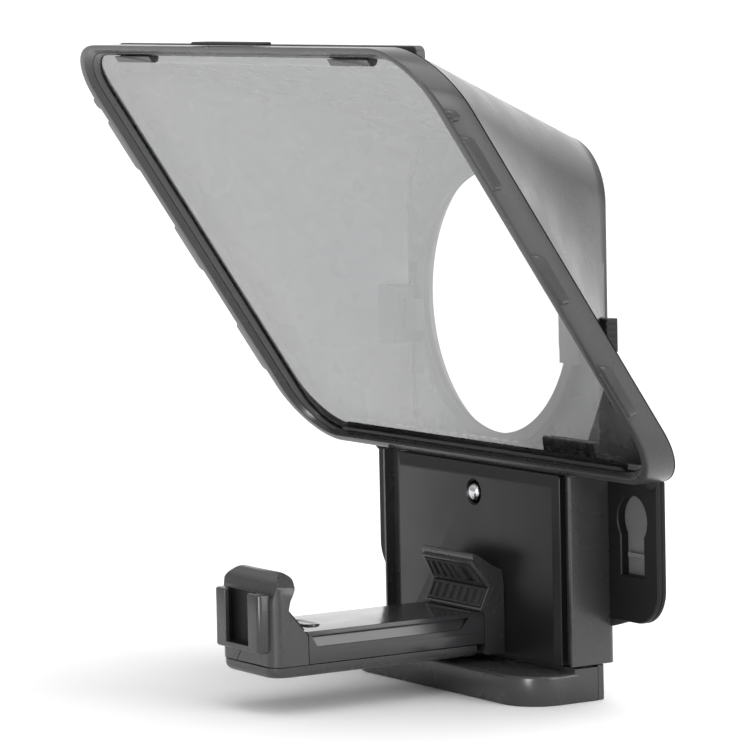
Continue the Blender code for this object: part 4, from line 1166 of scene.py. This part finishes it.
def add_world():
    """Dim horizon with one bright stretch behind the object, paler towards the zenith."""
    dim, bright, zenith = (0.42,) * 3, (1.50,) * 3, (0.86,) * 3
    world = bpy.data.worlds.new("studio")
    world.use_nodes = True
    tree = world.node_tree
    sky = tree.nodes["Background"]
    place = add_node(tree, "ShaderNodeTexCoord")
    split = add_node(tree, "ShaderNodeSeparateXYZ")
    tree.links.new(place.outputs["Generated"], split.inputs["Vector"])
    behind = add_node(tree, "ShaderNodeVectorMath", operation="DOT_PRODUCT")
    behind.inputs[1].default_value = (-0.847, 0.53, 0.0)
    tree.links.new(place.outputs["Generated"], behind.inputs[0])
    stretch = add_range(tree, behind.outputs["Value"], 0.0, 1.0, 0.66, 0.92)
    horizon = add_mix(tree, stretch, dim, bright)
    height = add_range(tree, split.outputs["Z"], 0.0, 1.0, 0.12, 0.75)
    tree.links.new(add_mix(tree, height, horizon, zenith), sky.inputs["Color"])
    bpy.context.scene.world = world


def add_lamps():
    sun = bpy.data.lights.new("overhead", "SUN")
    sun.energy = 1.9
    sun.angle = math.radians(70.0)
    lamp = bpy.data.objects.new("overhead", sun)
    lamp.rotation_euler = (math.radians(-12.0), math.radians(14.0), 0.0)
    bpy.context.collection.objects.link(lamp)
    middle = (0.0, 0.0, 0.12)
    add_area("side_softbox", (1.9, 0.7, 0.75), middle, (1.2, 1.2), 19.0)
    # This one adds highlights only, on the upright corners
    strip = add_area("corner_strip", (1.06, -1.70, 0.30), middle, (0.50, 1.4), 40.0)
    strip.visible_diffuse = False


def main():
    add_camera()
    add_floor()
    add_world()
    add_lamps()
    bpy.context.scene.view_settings.view_transform = "Standard"
    shell = moulded("shell_plastic", (0.040, 0.040, 0.042), 0.27, grain=0.05)
    gloss = moulded("arm_plastic", (0.034, 0.034, 0.036), 0.14, grain=0.02, specular=0.6)
    # Near-black painted shade for the wings' faces and the inside of the shoe's channel.
    shade = moulded("painted_shade_plastic", (0.008, 0.008, 0.009), 0.50, specular=0.2)
    inner = moulded("inner_plastic", (0.014, 0.014, 0.015), 0.58, specular=0.35)
    plate = moulded("plate_plastic", (0.009, 0.009, 0.010), 0.36, specular=0.26)
    soft = rubber("rubber_black", (0.022, 0.022, 0.022))
    steel = metal("bright_steel", (0.66, 0.66, 0.68), 0.20, (1.0, 1.0, 1.0))
    brass = metal("brass", (0.72, 0.55, 0.28), 0.28, (1.0, 1.0, 6.0))
    # Grey for the keyhole backing plates, made paler to paint light into the recessed keyholes.
    keyhole_painted_light = moulded("keyhole_painted_light_grey", (0.16, 0.16, 0.165), 0.45)
    coat = mirror_coat("mirror_coat")
    clear = clear_edge("clear_glass")

    build_band(shell)
    build_glass(coat, clear)
    build_gasket_teeth(shell)
    build_hood(shell)
    build_rear_wall(shell)
    build_lens_ring(inner)
    build_latches(inner)
    build_post(shell, shade)
    build_front_plate(plate)
    build_lock_pin(steel)
    build_foot(shell)
    build_bush(brass)
    build_screws(steel)
    for name, node, axis, turns, wire, joint, fixed, keep in SPRINGS:
        build_spring(name, node, axis, turns, wire * MM, steel, fixed)
    build_rear_jaw(shell, soft)
    build_arm(gloss)
    build_button(gloss)
    build_front_jaw(shell)
    build_slider(shell)
    build_shoe(shell, shade)
    dress(soft, "glass_gasket", "top_pad", "front_jaw_pad", width=0.12 * MM)
    dress(shell, "glass_clip_left", "glass_clip_right")
    dress(inner, "glass_stop_strip", "lock_pin_bush", "latch_guide_left",
          "latch_guide_right")
    # The keyhole backing plates get the paler grey: painted light in the keyholes.
    dress(keyhole_painted_light, "keyhole_plate_left", "keyhole_plate_right")
    dress(shell, "foot_rear_strip", width=0.4 * MM, segments=3)


main()
